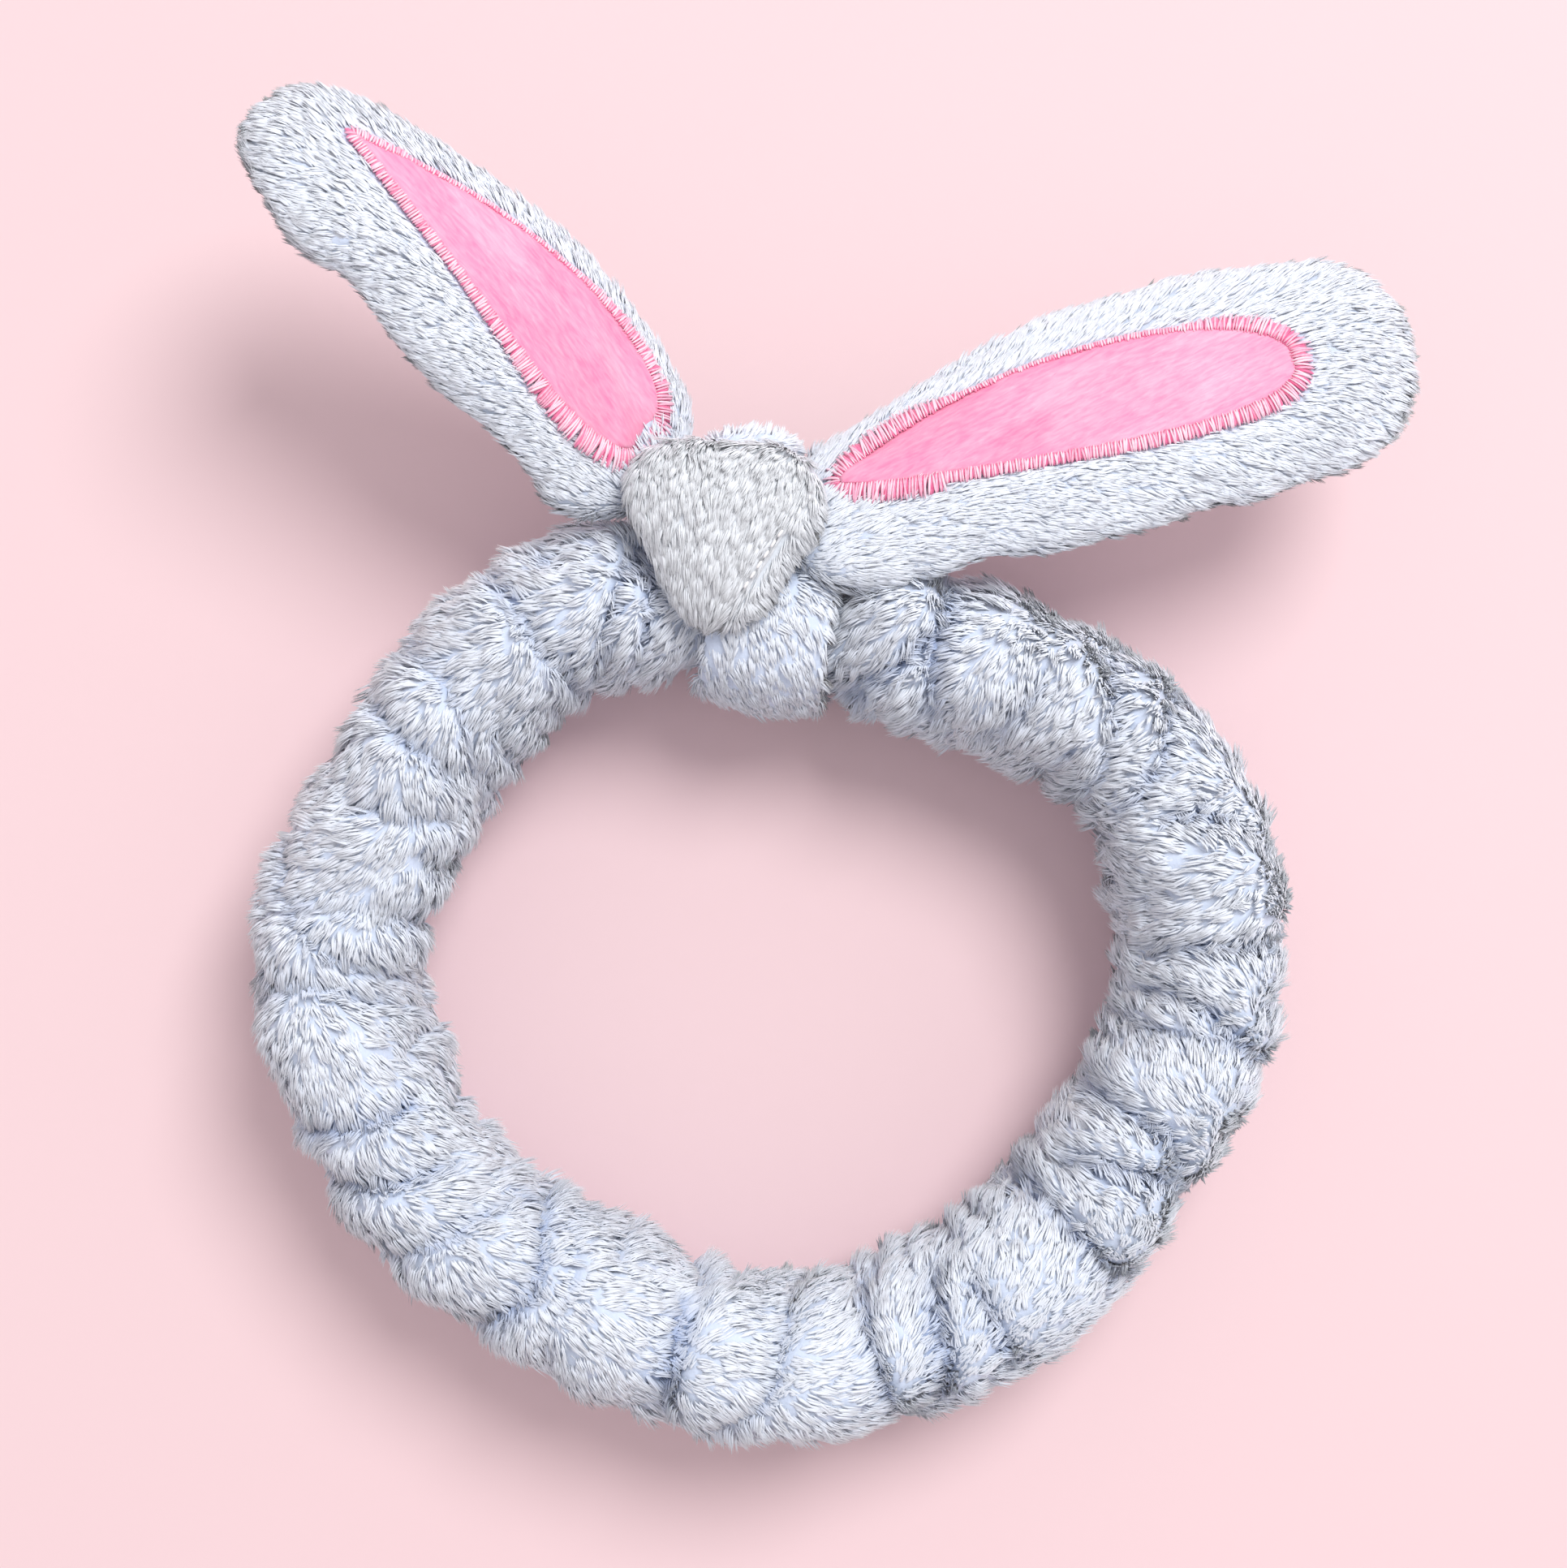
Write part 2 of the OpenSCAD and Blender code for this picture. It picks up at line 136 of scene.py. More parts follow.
# %% [markdown]
# ## Fleece colour
# Each fibre of the pile is painted a deeper blue at its root, as painted shade deep in the pile,
# and nearly white at its tip; the folds are painted a fuller, darker blue, as painted shade where
# light has passed through many fibres. So the colour is made of three numbers kept on the points:
# how deep in a fold, how far up the fibre, and a tone that differs from lock to lock. All fleece pieces share
# the group.

# %% The fleece tone and painted shade group
def new_group(name, wanted_in, wanted_out):
    group = bpy.data.node_groups.new(name, "ShaderNodeTree")
    for label, kind, start in wanted_in:
        socket = group.interface.new_socket(name=label, in_out="INPUT", socket_type=kind)
        socket.default_value = start
    for label, kind in wanted_out:
        group.interface.new_socket(name=label, in_out="OUTPUT", socket_type=kind)
    return group, group.nodes.new("NodeGroupInput"), group.nodes.new("NodeGroupOutput")


def mixed(tree, blend, factor, a, b):
    node = tree.nodes.new("ShaderNodeMix")
    node.data_type, node.blend_type = "RGBA", blend
    for socket, value in ((node.inputs[0], factor), (node.inputs[6], a), (node.inputs[7], b)):
        if isinstance(value, bpy.types.NodeSocket):
            tree.links.new(value, socket)
        else:
            socket.default_value = value
    return node.outputs[2]


def sums(tree, operation, a, b, clamp=False):
    node = tree.nodes.new("ShaderNodeMath")
    node.operation, node.use_clamp = operation, clamp
    for socket, value in zip(node.inputs, (a, b)):
        if isinstance(value, bpy.types.NodeSocket):
            tree.links.new(value, socket)
        else:
            socket.default_value = value
    return node.outputs[0]


shade_and_tone_group, given, put = new_group(
    "fleece_tone_and_shade",
    [("Fold", "NodeSocketFloat", 0.0), ("Rise", "NodeSocketFloat", 1.0), ("Tone", "NodeSocketFloat", 0.5),
     ("Tip", "NodeSocketColor", (0.8, 0.85, 0.92, 1)), ("Root shade", "NodeSocketColor", (0.5, 0.6, 0.8, 1)),
     ("Fold shade", "NodeSocketColor", (0.2, 0.35, 0.7, 1))],
    [("Color", "NodeSocketColor")])
# Rise mixes the painted root shade up to the tip colour, Fold mixes in the painted fold shade, and Tone
# scales it at random from lock to lock.
rise_shaded = mixed(shade_and_tone_group, "MIX", given.outputs["Rise"], given.outputs["Root shade"], given.outputs["Tip"])
fold_shaded = mixed(shade_and_tone_group, "MIX", given.outputs["Fold"], rise_shaded, given.outputs["Fold shade"])
shade = sums(shade_and_tone_group, "ADD", sums(shade_and_tone_group, "MULTIPLY", given.outputs["Tone"], 0.09), 0.95)
toned = shade_and_tone_group.nodes.new("ShaderNodeVectorMath")
toned.operation = "SCALE"
shade_and_tone_group.links.new(fold_shaded, toned.inputs[0])
shade_and_tone_group.links.new(shade, toned.inputs["Scale"])
shade_and_tone_group.links.new(toned.outputs[0], put.inputs["Color"])
print("fleece_tone_and_shade built with", len(shade_and_tone_group.nodes), "nodes")

# %% Fleece materials
# The root colours are painted shade deep in the pile, and the darkest blue is painted shade in folds.
TIP, ROOT_SHADE, FOLD_SHADE = (0.87, 0.92, 0.99, 1), (0.76, 0.84, 0.97, 1), (0.14, 0.28, 0.64, 1)
PALE_TIP, PALE_ROOT_SHADE = (0.88, 0.92, 0.96, 1), (0.80, 0.86, 0.93, 1)


def new_material(name):
    made = bpy.data.materials.new(name)
    made.use_nodes = True
    return made, made.node_tree, made.node_tree.nodes["Principled BSDF"]


def raised(tree, height, strength, distance):
    """Raises a material's surface by a height, as light sees it."""
    bump = tree.nodes.new("ShaderNodeBump")
    bump.inputs["Strength"].default_value, bump.inputs["Distance"].default_value = strength, distance
    tree.links.new(height, bump.inputs["Height"])
    tree.links.new(bump.outputs["Normal"], tree.nodes["Principled BSDF"].inputs["Normal"])


def two_tone(tree, factor, low, high, start=0.0, end=1.0):
    """Colours a material from low to high as the factor goes from start to end."""
    ramp = tree.nodes.new("ShaderNodeValToRGB")
    for element, position, colour in zip(ramp.color_ramp.elements, (start, end), (low, high)):
        element.position, element.color = position, colour
    tree.links.new(factor, ramp.inputs[0])
    tree.links.new(ramp.outputs[0], tree.nodes["Principled BSDF"].inputs["Base Color"])


def attribute(tree, name):
    node = tree.nodes.new("ShaderNodeAttribute")
    node.attribute_name = name
    return node.outputs["Fac"]


def fleece_material(name, tip, root, is_pile):
    made, tree, shader = new_material(name)
    tone = tree.nodes.new("ShaderNodeGroup")
    tone.node_tree = shade_and_tone_group
    tone.inputs["Tip"].default_value, tone.inputs["Root shade"].default_value = tip, root
    # The darkest blue is painted shade in folds.
    tone.inputs["Fold shade"].default_value = FOLD_SHADE
    tree.links.new(attribute(tree, "fold"), tone.inputs["Fold"])
    if is_pile:
        tree.links.new(attribute(tree, "rise"), tone.inputs["Rise"])
        tree.links.new(attribute(tree, "tone"), tone.inputs["Tone"])
    else:
        # A skin has no rise, so it shows only its painted shade colour.
        tone.inputs["Rise"].default_value = 0.0
        place = tree.nodes.new("ShaderNodeTexCoord").outputs["Object"]
        weave = tree.nodes.new("ShaderNodeTexNoise")
        weave.inputs["Scale"].default_value = 900
        tree.links.new(place, weave.inputs["Vector"])
        tree.links.new(weave.outputs["Fac"], tone.inputs["Tone"])
        raised(tree, weave.outputs["Fac"], 0.5, 0.4 * MM)
    tree.links.new(tone.outputs["Color"], shader.inputs["Base Color"])
    shader.inputs["Roughness"].default_value = 0.75
    shader.inputs["Sheen Weight"].default_value = 0.6
    shader.inputs["Sheen Roughness"].default_value = 0.5
    shader.inputs["Specular IOR Level"].default_value = 0.25
    return made


# The bare skin between locks is painted a darker blue than the pile, as painted shade; the knot's skin takes
# a paler painted shade.
GROUND_SHADE = (0.68, 0.78, 0.96, 1)
fleece_ground = fleece_material("fleece_ground", TIP, GROUND_SHADE, False)
fleece_pile = fleece_material("fleece_pile", TIP, ROOT_SHADE, True)
knot_ground = fleece_material("knot_fleece_ground", PALE_TIP, (0.76, 0.83, 0.91, 1), False)
knot_pile = fleece_material("knot_fleece_pile", PALE_TIP, PALE_ROOT_SHADE, True)
print("fleece materials:", fleece_ground.name, fleece_pile.name, knot_ground.name, knot_pile.name)

# %% [markdown]
# ## The gathered band
# A gathered tube is much longer than the elastic inside it, so it falls into irregular
# pleats that cross the band, closer together on the inner edge, where there is less room.
# It starts as a torus, whose points are set on the hidden loop's own line and section;
# each pleat is then pressed in along its own line, slanted and of its own length.

# %% The line of the loop
elastic = points(nodes["elastic_band"].data)
LOOP_BINS = 90
turn_of = np.arctan2(elastic[:, 1], elastic[:, 0]) % (2 * np.pi)
radius_of = np.hypot(elastic[:, 0], elastic[:, 1])
centres = (np.arange(LOOP_BINS) + 0.5) * 2 * np.pi / LOOP_BINS
near = np.abs((turn_of[None] - centres[:, None] + np.pi) % (2 * np.pi) - np.pi) < 0.07
loop_table = np.array([radius_of[n].mean() for n in near])
for _ in range(2):
    loop_table = (np.roll(loop_table, 1) + 2 * loop_table + np.roll(loop_table, -1)) / 4


def loop_radius(turn):
    return np.interp(turn % (2 * np.pi), np.r_[centres[-1] - 2 * np.pi, centres, centres[0] + 2 * np.pi],
                     np.r_[loop_table[-1], loop_table, loop_table[0]])


def loop_frame(turn):
    """Point on the loop's line, the way out from it and the way along it."""
    at = lambda t: loop_radius(t)[:, None] * np.c_[np.cos(t), np.sin(t), 0 * t]
    along = unit(at(turn + 0.02) - at(turn - 0.02))
    return at(turn), np.c_[along[:, 1], -along[:, 0], 0 * turn], along


around = np.linspace(0, 2 * np.pi, 721)
loop_line = loop_frame(around)[0]
walked = np.r_[0, np.cumsum(np.linalg.norm(np.diff(loop_line, axis=0), axis=1))]
LOOP_LENGTH = walked[-1]
print(f"loop line {LOOP_LENGTH / MM:.0f} mm round,",
      f"radius {loop_table.min() / MM:.0f} to {loop_table.max() / MM:.0f} mm")

# %% The torus that becomes the band
cover_low, cover_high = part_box("band_cover")
BAND_HEIGHT = cover_high.z - cover_low.z
BAND_MIDDLE = (cover_high.z + cover_low.z) / 2
BAND_THICKNESS = 33 * MM
PILE_ROOM = 1.9 * MM
TORUS_RADIUS = 80 * MM
KNOT_TURN = np.pi / 2

bpy.ops.object.select_all(action="DESELECT")
bpy.ops.mesh.primitive_torus_add(major_segments=540, minor_segments=108,
                                 major_radius=TORUS_RADIUS, minor_radius=15 * MM)
band = bpy.context.object
band.name = band.data.name = "band_fleece"
raw = points(band.data)
turn = np.arctan2(raw[:, 1], raw[:, 0]) % (2 * np.pi)
phase = np.arctan2(raw[:, 2], np.hypot(raw[:, 0], raw[:, 1]) - TORUS_RADIUS)
walk = np.interp(turn, around, walked)
knot_walk = np.interp(KNOT_TURN, around, walked)
from_knot = (walk - knot_walk + LOOP_LENGTH / 2) % LOOP_LENGTH - LOOP_LENGTH / 2
print("band has", len(raw), "points")

# %% Pleats
def wave(a, b, seed, sizes=(1.0, 0.5, 0.25)):
    """Smooth noise over two coordinates, from a few random waves; it closes round the loop."""
    pick = np.random.default_rng(seed)
    total = 0
    for size in sizes:
        for _ in range(7):
            most = max(2, int(LOOP_LENGTH / (size * 30 * MM)))
            turns = pick.integers(1, most) * (1 if pick.random() > 0.5 else -1)
            rounds = pick.integers(0, 4)
            course = 2 * np.pi * turns * a / LOOP_LENGTH + rounds * b
            total = total + size * np.sin(course + pick.uniform(0, 6.3))
    return total / 5


def press_pleats(count, middle, spread, reach, depth, width, slant, seed):
    """How far a set of pleats across the band presses each point in, and draws it along to the lip."""
    pick = np.random.default_rng(seed)
    pressed, drawn = np.zeros(len(raw)), np.zeros(len(raw))
    step = LOOP_LENGTH / count
    for i in range(count):
        start = (i + pick.uniform(-0.48, 0.48)) * step
        centre = middle + pick.uniform(-spread, spread)
        half = pick.uniform(*reach)
        away = (phase - centre + np.pi) % (2 * np.pi) - np.pi
        lean = pick.uniform(-slant, slant)
        curve = pick.uniform(-3.5, 3.5) * MM
        line = start + lean * away + curve * np.sin(away * pick.uniform(1.5, 3) + pick.uniform(0, 6))
        gap = (walk - line + LOOP_LENGTH / 2) % LOOP_LENGTH - LOOP_LENGTH / 2
        w = pick.uniform(*width)
        # One lip is steep and the other is long, so the pleat laps over.
        gap = np.where(gap > 0, gap / 0.75, gap / 1.35)
        shape = np.exp(-np.abs(gap) / w)
        fade = smooth_step((half - np.abs(away)) / 0.5)
        press = pick.uniform(*depth) * shape * fade
        pressed = np.maximum(pressed, press)
        drawn = np.maximum(drawn, 0.28 * press * smooth_step(-gap / (1.3 * MM)))
    return np.array([pressed, drawn])


OUTSIDE, TOP, INSIDE = 0.0, np.pi / 2, np.pi  # places round the section
across = press_pleats(34, TOP, spread=0.6, reach=(0.8, 2.0), depth=(3.0 * MM, 8.5 * MM),
                      width=(1.6 * MM, 3.4 * MM), slant=9 * MM, seed=3)
inner = press_pleats(58, INSIDE, spread=0.3, reach=(0.7, 1.3), depth=(2.0 * MM, 4.5 * MM),
                     width=(1.6 * MM, 2.6 * MM), slant=4 * MM, seed=5)
outer = press_pleats(44, OUTSIDE, spread=0.4, reach=(0.6, 1.2), depth=(2.0 * MM, 4.5 * MM),
                     width=(2.0 * MM, 3.0 * MM), slant=4 * MM, seed=7)
hollow, lip = np.maximum(across, np.maximum(inner, outer))
swell = 1.5 * MM * wave(walk, phase, 21)
print(f"pleats press in up to {hollow.max() / MM:.1f} mm")

# %% The band's section
POWER = 2.3
grip = 1 - 0.36 * (1 - smooth_step((np.abs(from_knot) - 12 * MM) / (15 * MM)))
on_line, way_out, way_along = loop_frame(turn)
signed = lambda x: np.sign(x) * np.abs(x) ** (2 / POWER)
half_t = (BAND_THICKNESS / 2 - PILE_ROOM) * grip
half_h = (BAND_HEIGHT / 2 - PILE_ROOM) * grip
skin = on_line + way_out * (half_t * signed(np.cos(phase)))[:, None]
skin[:, 2] = BAND_MIDDLE + half_h * signed(np.sin(phase))
place_points(band.data, skin)
ways = normals(band.data)
quiet = smooth_step((np.abs(from_knot) - 11 * MM) / (10 * MM))
skin = skin + ways * ((1.6 * MM + swell - hollow) * quiet)[:, None] + way_along * (lip * quiet)[:, None]
skin[:, 2] = np.maximum(skin[:, 2], 1.0 * MM)
place_points(band.data, skin)
# Deep creases are marked here: the fleece is painted a darker blue there as painted shade, and its pile grows
# denser and stands up more.
mark(band.data, "fold", np.clip((hollow - 1.8 * MM) / (5.0 * MM), 0, 1) * quiet)
only(band)
bpy.ops.object.shade_smooth()
band.data.materials.append(fleece_ground)
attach(band, "band")
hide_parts("band_cover")
print("band from", skin.min(0).round(4), "to", skin.max(0).round(4))

# %% [markdown]
# ## The pile
# The long nap is what makes the fleece. Hair particles would not survive as a mesh, so each
# little lock is a closed spindle with five points, bowed a little away from the skin.
# Spindles are scattered over a skin, laid along the nap, and gathered tip to tip in clumps,
# which leaves the dark partings between locks that the eye reads as fleece; they are dark from real shadow
# and from the painted shade on the skin below.

# %% Scattering roots over a skin
def scatter(skin, count, seed, weight=None):
    """Random spots on a skin, a few more in its folds: their places, normals and fold depths."""
    pick = np.random.default_rng(seed)
    mesh = skin.data
    mesh.calc_loop_triangles()
    corners = np.empty(len(mesh.loop_triangles) * 3, np.int32)
    mesh.loop_triangles.foreach_get("vertices", corners)
    corners = corners.reshape(-1, 3)
    co, no = points(mesh), normals(mesh)
    a, b, c = (co[corners[:, i]] for i in range(3))
    chance = np.linalg.norm(np.cross(b - a, c - a), axis=1)
    if weight is not None:
        chance = chance * weight(co, no)[corners].mean(1)
    fold = mesh.attributes.get("fold")
    folds = np.zeros(len(co), np.float32)
    if fold:
        fold.data.foreach_get("value", folds)
    chance = chance * (1 + 0.8 * np.sqrt(folds[corners].mean(1)))
    chosen = pick.choice(len(corners), count, p=chance / chance.sum())
    u, v = pick.random(count), pick.random(count)
    flip = u + v > 1
    u[flip], v[flip] = 1 - u[flip], 1 - v[flip]
    share = np.c_[1 - u - v, u, v][..., None]
    tri = corners[chosen]
    return ((co[tri] * share).sum(1), unit((no[tri] * share).sum(1)), (folds[tri] * share[..., 0]).sum(1))


# %% One fibre tuft, modelled by hand
def hand_made(name, shape):
    """Models a small shape with operators, keeps its points, normals and faces, and clears it away."""
    bpy.ops.object.select_all(action="DESELECT")
    shape()
    made = bpy.context.object
    mesh = made.data
    kept = points(mesh), normals(mesh), [tuple(f.vertices) for f in mesh.polygons]
    bpy.data.objects.remove(made)
    bpy.data.meshes.remove(mesh)
    print(f"{name}: {len(kept[0])} points, {len(kept[2])} faces")
    return kept


def tuft_shape():
    # A three-sided cone standing on a fan whose centre is drawn down: a spindle from 0 to 1 along Z.
    bpy.ops.mesh.primitive_cone_add(vertices=3, radius1=0.5, radius2=0, depth=0.55, end_fill_type="TRIFAN",
                                    location=(0, 0, 0.725))
    bpy.ops.object.transform_apply(location=True, rotation=True, scale=True)
    made = bpy.context.object
    centre = min(made.data.vertices, key=lambda v: (round(v.co.z, 4), v.co.x ** 2 + v.co.y ** 2)).index
    bpy.ops.object.mode_set(mode="EDIT")
    bpy.ops.mesh.select_all(action="DESELECT")
    bpy.ops.object.mode_set(mode="OBJECT")
    made.data.vertices[centre].select = True
    bpy.ops.object.mode_set(mode="EDIT")
    bpy.ops.transform.translate(value=(0, 0, -0.45))
    bpy.ops.mesh.select_all(action="SELECT")
    bpy.ops.mesh.normals_make_consistent(inside=False)
    bpy.ops.object.mode_set(mode="OBJECT")


tuft = hand_made("tuft", tuft_shape)


# %% Stamping a small shape many times
def stamp(name, shape, root, tip, normal, width, bow, flat, soften):
    """One piece with a copy of the shape from each root to its tip, bowed away from the skin.

    flat is its thickness against its width.
    soften turns the shading normals towards the skin's own, as light blurs through fine fibres.
    """
    co, own, faces = shape
    n, count = len(root), len(co)
    along = unit(tip - root)
    side = unit(np.cross(normal, along) + 1e-6)
    up = np.cross(along, side)
    length = np.linalg.norm(tip - root, axis=1)
    rise = co[:, 2]
    where = root[:, None] + (tip - root)[:, None] * rise[None, :, None]
    where += side[:, None] * (co[None, :, 0] * width[:, None])[..., None]
    where += up[:, None] * (co[None, :, 1] * width[:, None] * flat)[..., None]
    where += up[:, None] * (np.sin(np.pi * rise) ** 0.8 * bow * length[:, None])[..., None]
    where[..., 2] = np.maximum(where[..., 2], 0.15 * MM)
    facing = (side[:, None] * own[None, :, 0, None] + up[:, None] * own[None, :, 1, None]
              + along[:, None] * own[None, :, 2, None])
    facing = unit(facing * (1 - soften) + normal[:, None] * soften)
    loops = np.concatenate([np.array(f) for f in faces])
    sizes = np.array([len(f) for f in faces])
    starts = np.r_[0, np.cumsum(sizes)[:-1]]
    step = np.arange(n)[:, None]
    mesh = bpy.data.meshes.new(name)
    mesh.vertices.add(n * count)
    mesh.vertices.foreach_set("co", where.astype(np.float32).ravel())
    mesh.loops.add(n * len(loops))
    mesh.loops.foreach_set("vertex_index", (loops[None] + count * step).astype(np.int32).ravel())
    mesh.polygons.add(n * len(faces))
    mesh.polygons.foreach_set("loop_start", (starts[None] + len(loops) * step).astype(np.int32).ravel())
    mesh.polygons.foreach_set("use_smooth", np.ones(n * len(faces), bool))
    mesh.update(calc_edges=True)
    if soften:
        mesh.normals_split_custom_set_from_vertices(facing.reshape(-1, 3))
    mark(mesh, "rise", np.tile(rise, n))
    piece = bpy.data.objects.new(name, mesh)
    bpy.context.scene.collection.objects.link(piece)
    return piece


PILE_LIMIT = 33_000  # tufts in one piece, at six triangles each


def grow_pile(name, skin, count, length, width, nap, material, body, slot, seed,
              lift=0.75, mess=0.25, clump=9, gather=0.6, soften=0.5, flat=0.45, bow=0.13, sink=0.9 * MM,
              weight=None, order=None, keep=None):
    """Scatters, combs and gathers a pile over a skin; returns its pieces."""
    pick = np.random.default_rng(seed)
    root, normal, fold = scatter(skin, count, seed + 1, weight)
    root = root - normal * (sink * (1 - 0.6 * np.clip(fold, 0, 1)))[:, None]
    if keep is not None:
        stays = keep(root, normal)
        root, normal, fold = root[stays], normal[stays], fold[stays]
    n = len(root)
    way = nap(root, normal)
    way = unit(way - normal * (way * normal).sum(1)[:, None])
    centre = np.arange(max(1, n // clump))
    tree = KDTree(len(centre))
    for i in centre:
        tree.insert(root[i], i)
    tree.balance()
    own = np.fromiter((tree.find(p)[1] for p in root), np.int64, n)
    clump_mess = pick.normal(0, mess, (n, 3))[own]
    clump_size = pick.uniform(0.8, 1.15, n)[own]
    clump_tone = pick.random(n)[own]
    stand = np.sqrt(np.clip(fold, 0, 1))
    heading = unit(way * (1 - 0.55 * stand)[:, None]
                   + normal * (lift * (1 + 0.9 * stand) * pick.uniform(0.7, 1.3, n))[:, None] + clump_mess
                   + pick.normal(0, mess * 0.45, (n, 3)))
    size = length * clump_size * pick.uniform(0.85, 1.1, n)
    tip = root + heading * size[:, None]
    lead = root[own] + heading[own] * (length * clump_size)[:, None]
    from_lead = np.linalg.norm(root - root[own], axis=1)
    tip = tip + (lead - tip) * gather * np.exp(-(from_lead / (3 * MM)) ** 2)[:, None]
    broad = width * pick.uniform(0.75, 1.25, n)
    tone = np.clip(0.65 * clump_tone + 0.35 * pick.random(n), 0, 1)
    rank = np.argsort(order(root)) if order is not None else np.arange(n)
    made = []
    shares = np.array_split(rank, max(1, math.ceil(n / PILE_LIMIT)))
    for i, share in enumerate(shares):
        label = name if len(shares) == 1 else f"{name}_{i + 1}"
        piece = stamp(label, tuft, root[share], tip[share], normal[share], broad[share], bow, flat, soften)
        corners = len(tuft[0])
        # The painted fold shade fades to half towards each tuft's tip.
        lit = 1 - 0.5 * np.tile(tuft[0][:, 2], len(share))
        mark(piece.data, "fold", np.repeat(fold[share], corners) * lit)
        mark(piece.data, "tone", np.repeat(tone[share], corners))
        piece.data.materials.append(material)
        if body:  # a pile given no body is left unattached
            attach(piece, body)
        made.append(piece)
    print(f"{name}: {n} locks in {len(made)} pieces")
    return made


# Long loose pile hides a stuffed strip's shape; sleek pile lies close to an ear.
PLUMP = {"lift": 0.35, "mess": 0.18, "clump": 10, "gather": 0.4, "sink": 0.5 * MM}
SLEEK = {"lift": 0.27, "mess": 0.12, "clump": 10, "gather": 0.35, "flat": 0.38, "bow": 0.1, "sink": 0.35 * MM}

# %% [markdown]
# ## Nap of the band
# The nap runs along the tube on the left and turns inwards across it on the right, and
# gathering has swirled it a little differently from pleat to pleat. Low on the band, where
# it stands on the table, the pile is sparser, for little of it shows.

# %% The band's pile
def band_nap(root, normal):
    at = np.arctan2(root[:, 1], root[:, 0])
    _, out, along = loop_frame(at)
    far = np.interp(at % (2 * np.pi), around, walked)
    swirl = 0.75 * wave(far, at * 0, 31, (1.0, 0.6)) + 0.25 * wave(far, normal[:, 2] * 2, 32, (0.4,))
    leftness = smooth_step((-root[:, 0] / 0.1 + 1) / 2)[:, None]
    side = out * ((root - loop_frame(at)[0]) * out).sum(1)[:, None] / (12 * MM)
    way = along * (0.35 + 0.65 * leftness) - out * (0.75 * (1 - leftness)) + side * (0.8 * leftness)
    turn_by = swirl[:, None]
    return way * np.cos(turn_by) + np.cross(normal, way) * np.sin(turn_by)


def band_density(co, no):
    top = np.clip(co[:, 2] / BAND_HEIGHT, 0, 1)
    return 0.35 + 0.65 * smooth_step(top * 1.6)


def off_knot(root, normal):
    """No pile grows where the knot is wound over the band."""
    return ~((np.abs(root[:, 0]) < 11 * MM) & (root[:, 1] > 45 * MM))


grow_pile("band_pile", band, 154_000, 4.8 * MM, 0.6 * MM, band_nap, fleece_pile, "band", "fleece", 41,
          lift=0.45, mess=0.2, clump=12, gather=0.5, flat=0.42, bow=0.12, sink=0.7 * MM,
          weight=band_density, order=lambda p: np.arctan2(p[:, 1], p[:, 0]), keep=off_knot)

# %% [markdown]
# ## Padded pieces
# The ears and the parts of the knot are stuffed or folded cloth. Each starts from its
# hidden solids and is remeshed to even squares. The ears, the strip's turn and its front
# fold are then blown up a little by cloth simulation, which tightens the skin; the outer
# turn and the necks, which have no pressure, are only smoothed.

# %% Remesh, shrink and puff
OVERLAP = 0.45 * MM  # neighbours that only touch are swollen into each other, so they remesh as one


def padded_piece(name, copied, voxel, inset, pressure, cap, body, material, held=None):
    """One smooth skin round its solids, drawn in by inset; the cloth moves it by cap at most."""
    piece = hidden_copy(name, *copied)
    if len(copied) > 1:
        bpy.ops.object.mode_set(mode="EDIT")
        bpy.ops.mesh.select_all(action="SELECT")
        bpy.ops.transform.shrink_fatten(value=OVERLAP)
        bpy.ops.object.mode_set(mode="OBJECT")
        inset = inset + OVERLAP
    piece.data.remesh_voxel_size = voxel
    only(piece)
    bpy.ops.object.voxel_remesh()
    bpy.ops.object.mode_set(mode="EDIT")
    bpy.ops.mesh.select_all(action="SELECT")
    bpy.ops.mesh.vertices_smooth(factor=0.5, repeat=10)
    bpy.ops.object.mode_set(mode="OBJECT")
    place_points(piece.data, points(piece.data) - normals(piece.data) * inset)
    before = points(piece.data)
    if pressure:
        cloth = piece.modifiers.new("Cloth", "CLOTH")
        cloth.settings.use_pressure = True
        cloth.settings.uniform_pressure_force = pressure
        cloth.settings.effector_weights.gravity = 0
        cloth.settings.tension_stiffness = cloth.settings.compression_stiffness = 30
        cloth.settings.quality = 5
        if held is not None:
            group = piece.vertex_groups.new(name="held")
            for i in np.nonzero(held(before))[0]:
                group.add([int(i)], 1.0, "REPLACE")
            cloth.settings.vertex_group_mass = "held"
        for f in range(1, 13):
            bpy.context.scene.frame_set(f)
        only(piece)
        bpy.ops.object.modifier_apply(modifier="Cloth")
        bpy.context.scene.frame_set(1)
        moved = points(piece.data) - before
        far = np.linalg.norm(moved, axis=1)
        moved *= np.minimum(1, cap / np.maximum(far, 1e-9))[:, None]
        place_points(piece.data, before + moved)
    piece.vertex_groups.clear()
    only(piece)
    bpy.ops.object.shade_smooth()
    piece.data.materials.append(material)
    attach(piece, body)
    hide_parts(*copied)
    mark(piece.data, "fold", np.zeros(len(piece.data.vertices)))
    print(f"{name}: {len(piece.data.vertices)} points")
    return piece

# %% [markdown]
# ## The ears
# Each ear is two fleece panels sewn face to face and turned, with wadding between. One skin
# stands for all of it. Its pile grows later, once the inner ear and its stitches are there.

# %% Ear skins
FLOPS = {j["child"]: j for j in frame["joints"] if j["name"].endswith("_flop")}


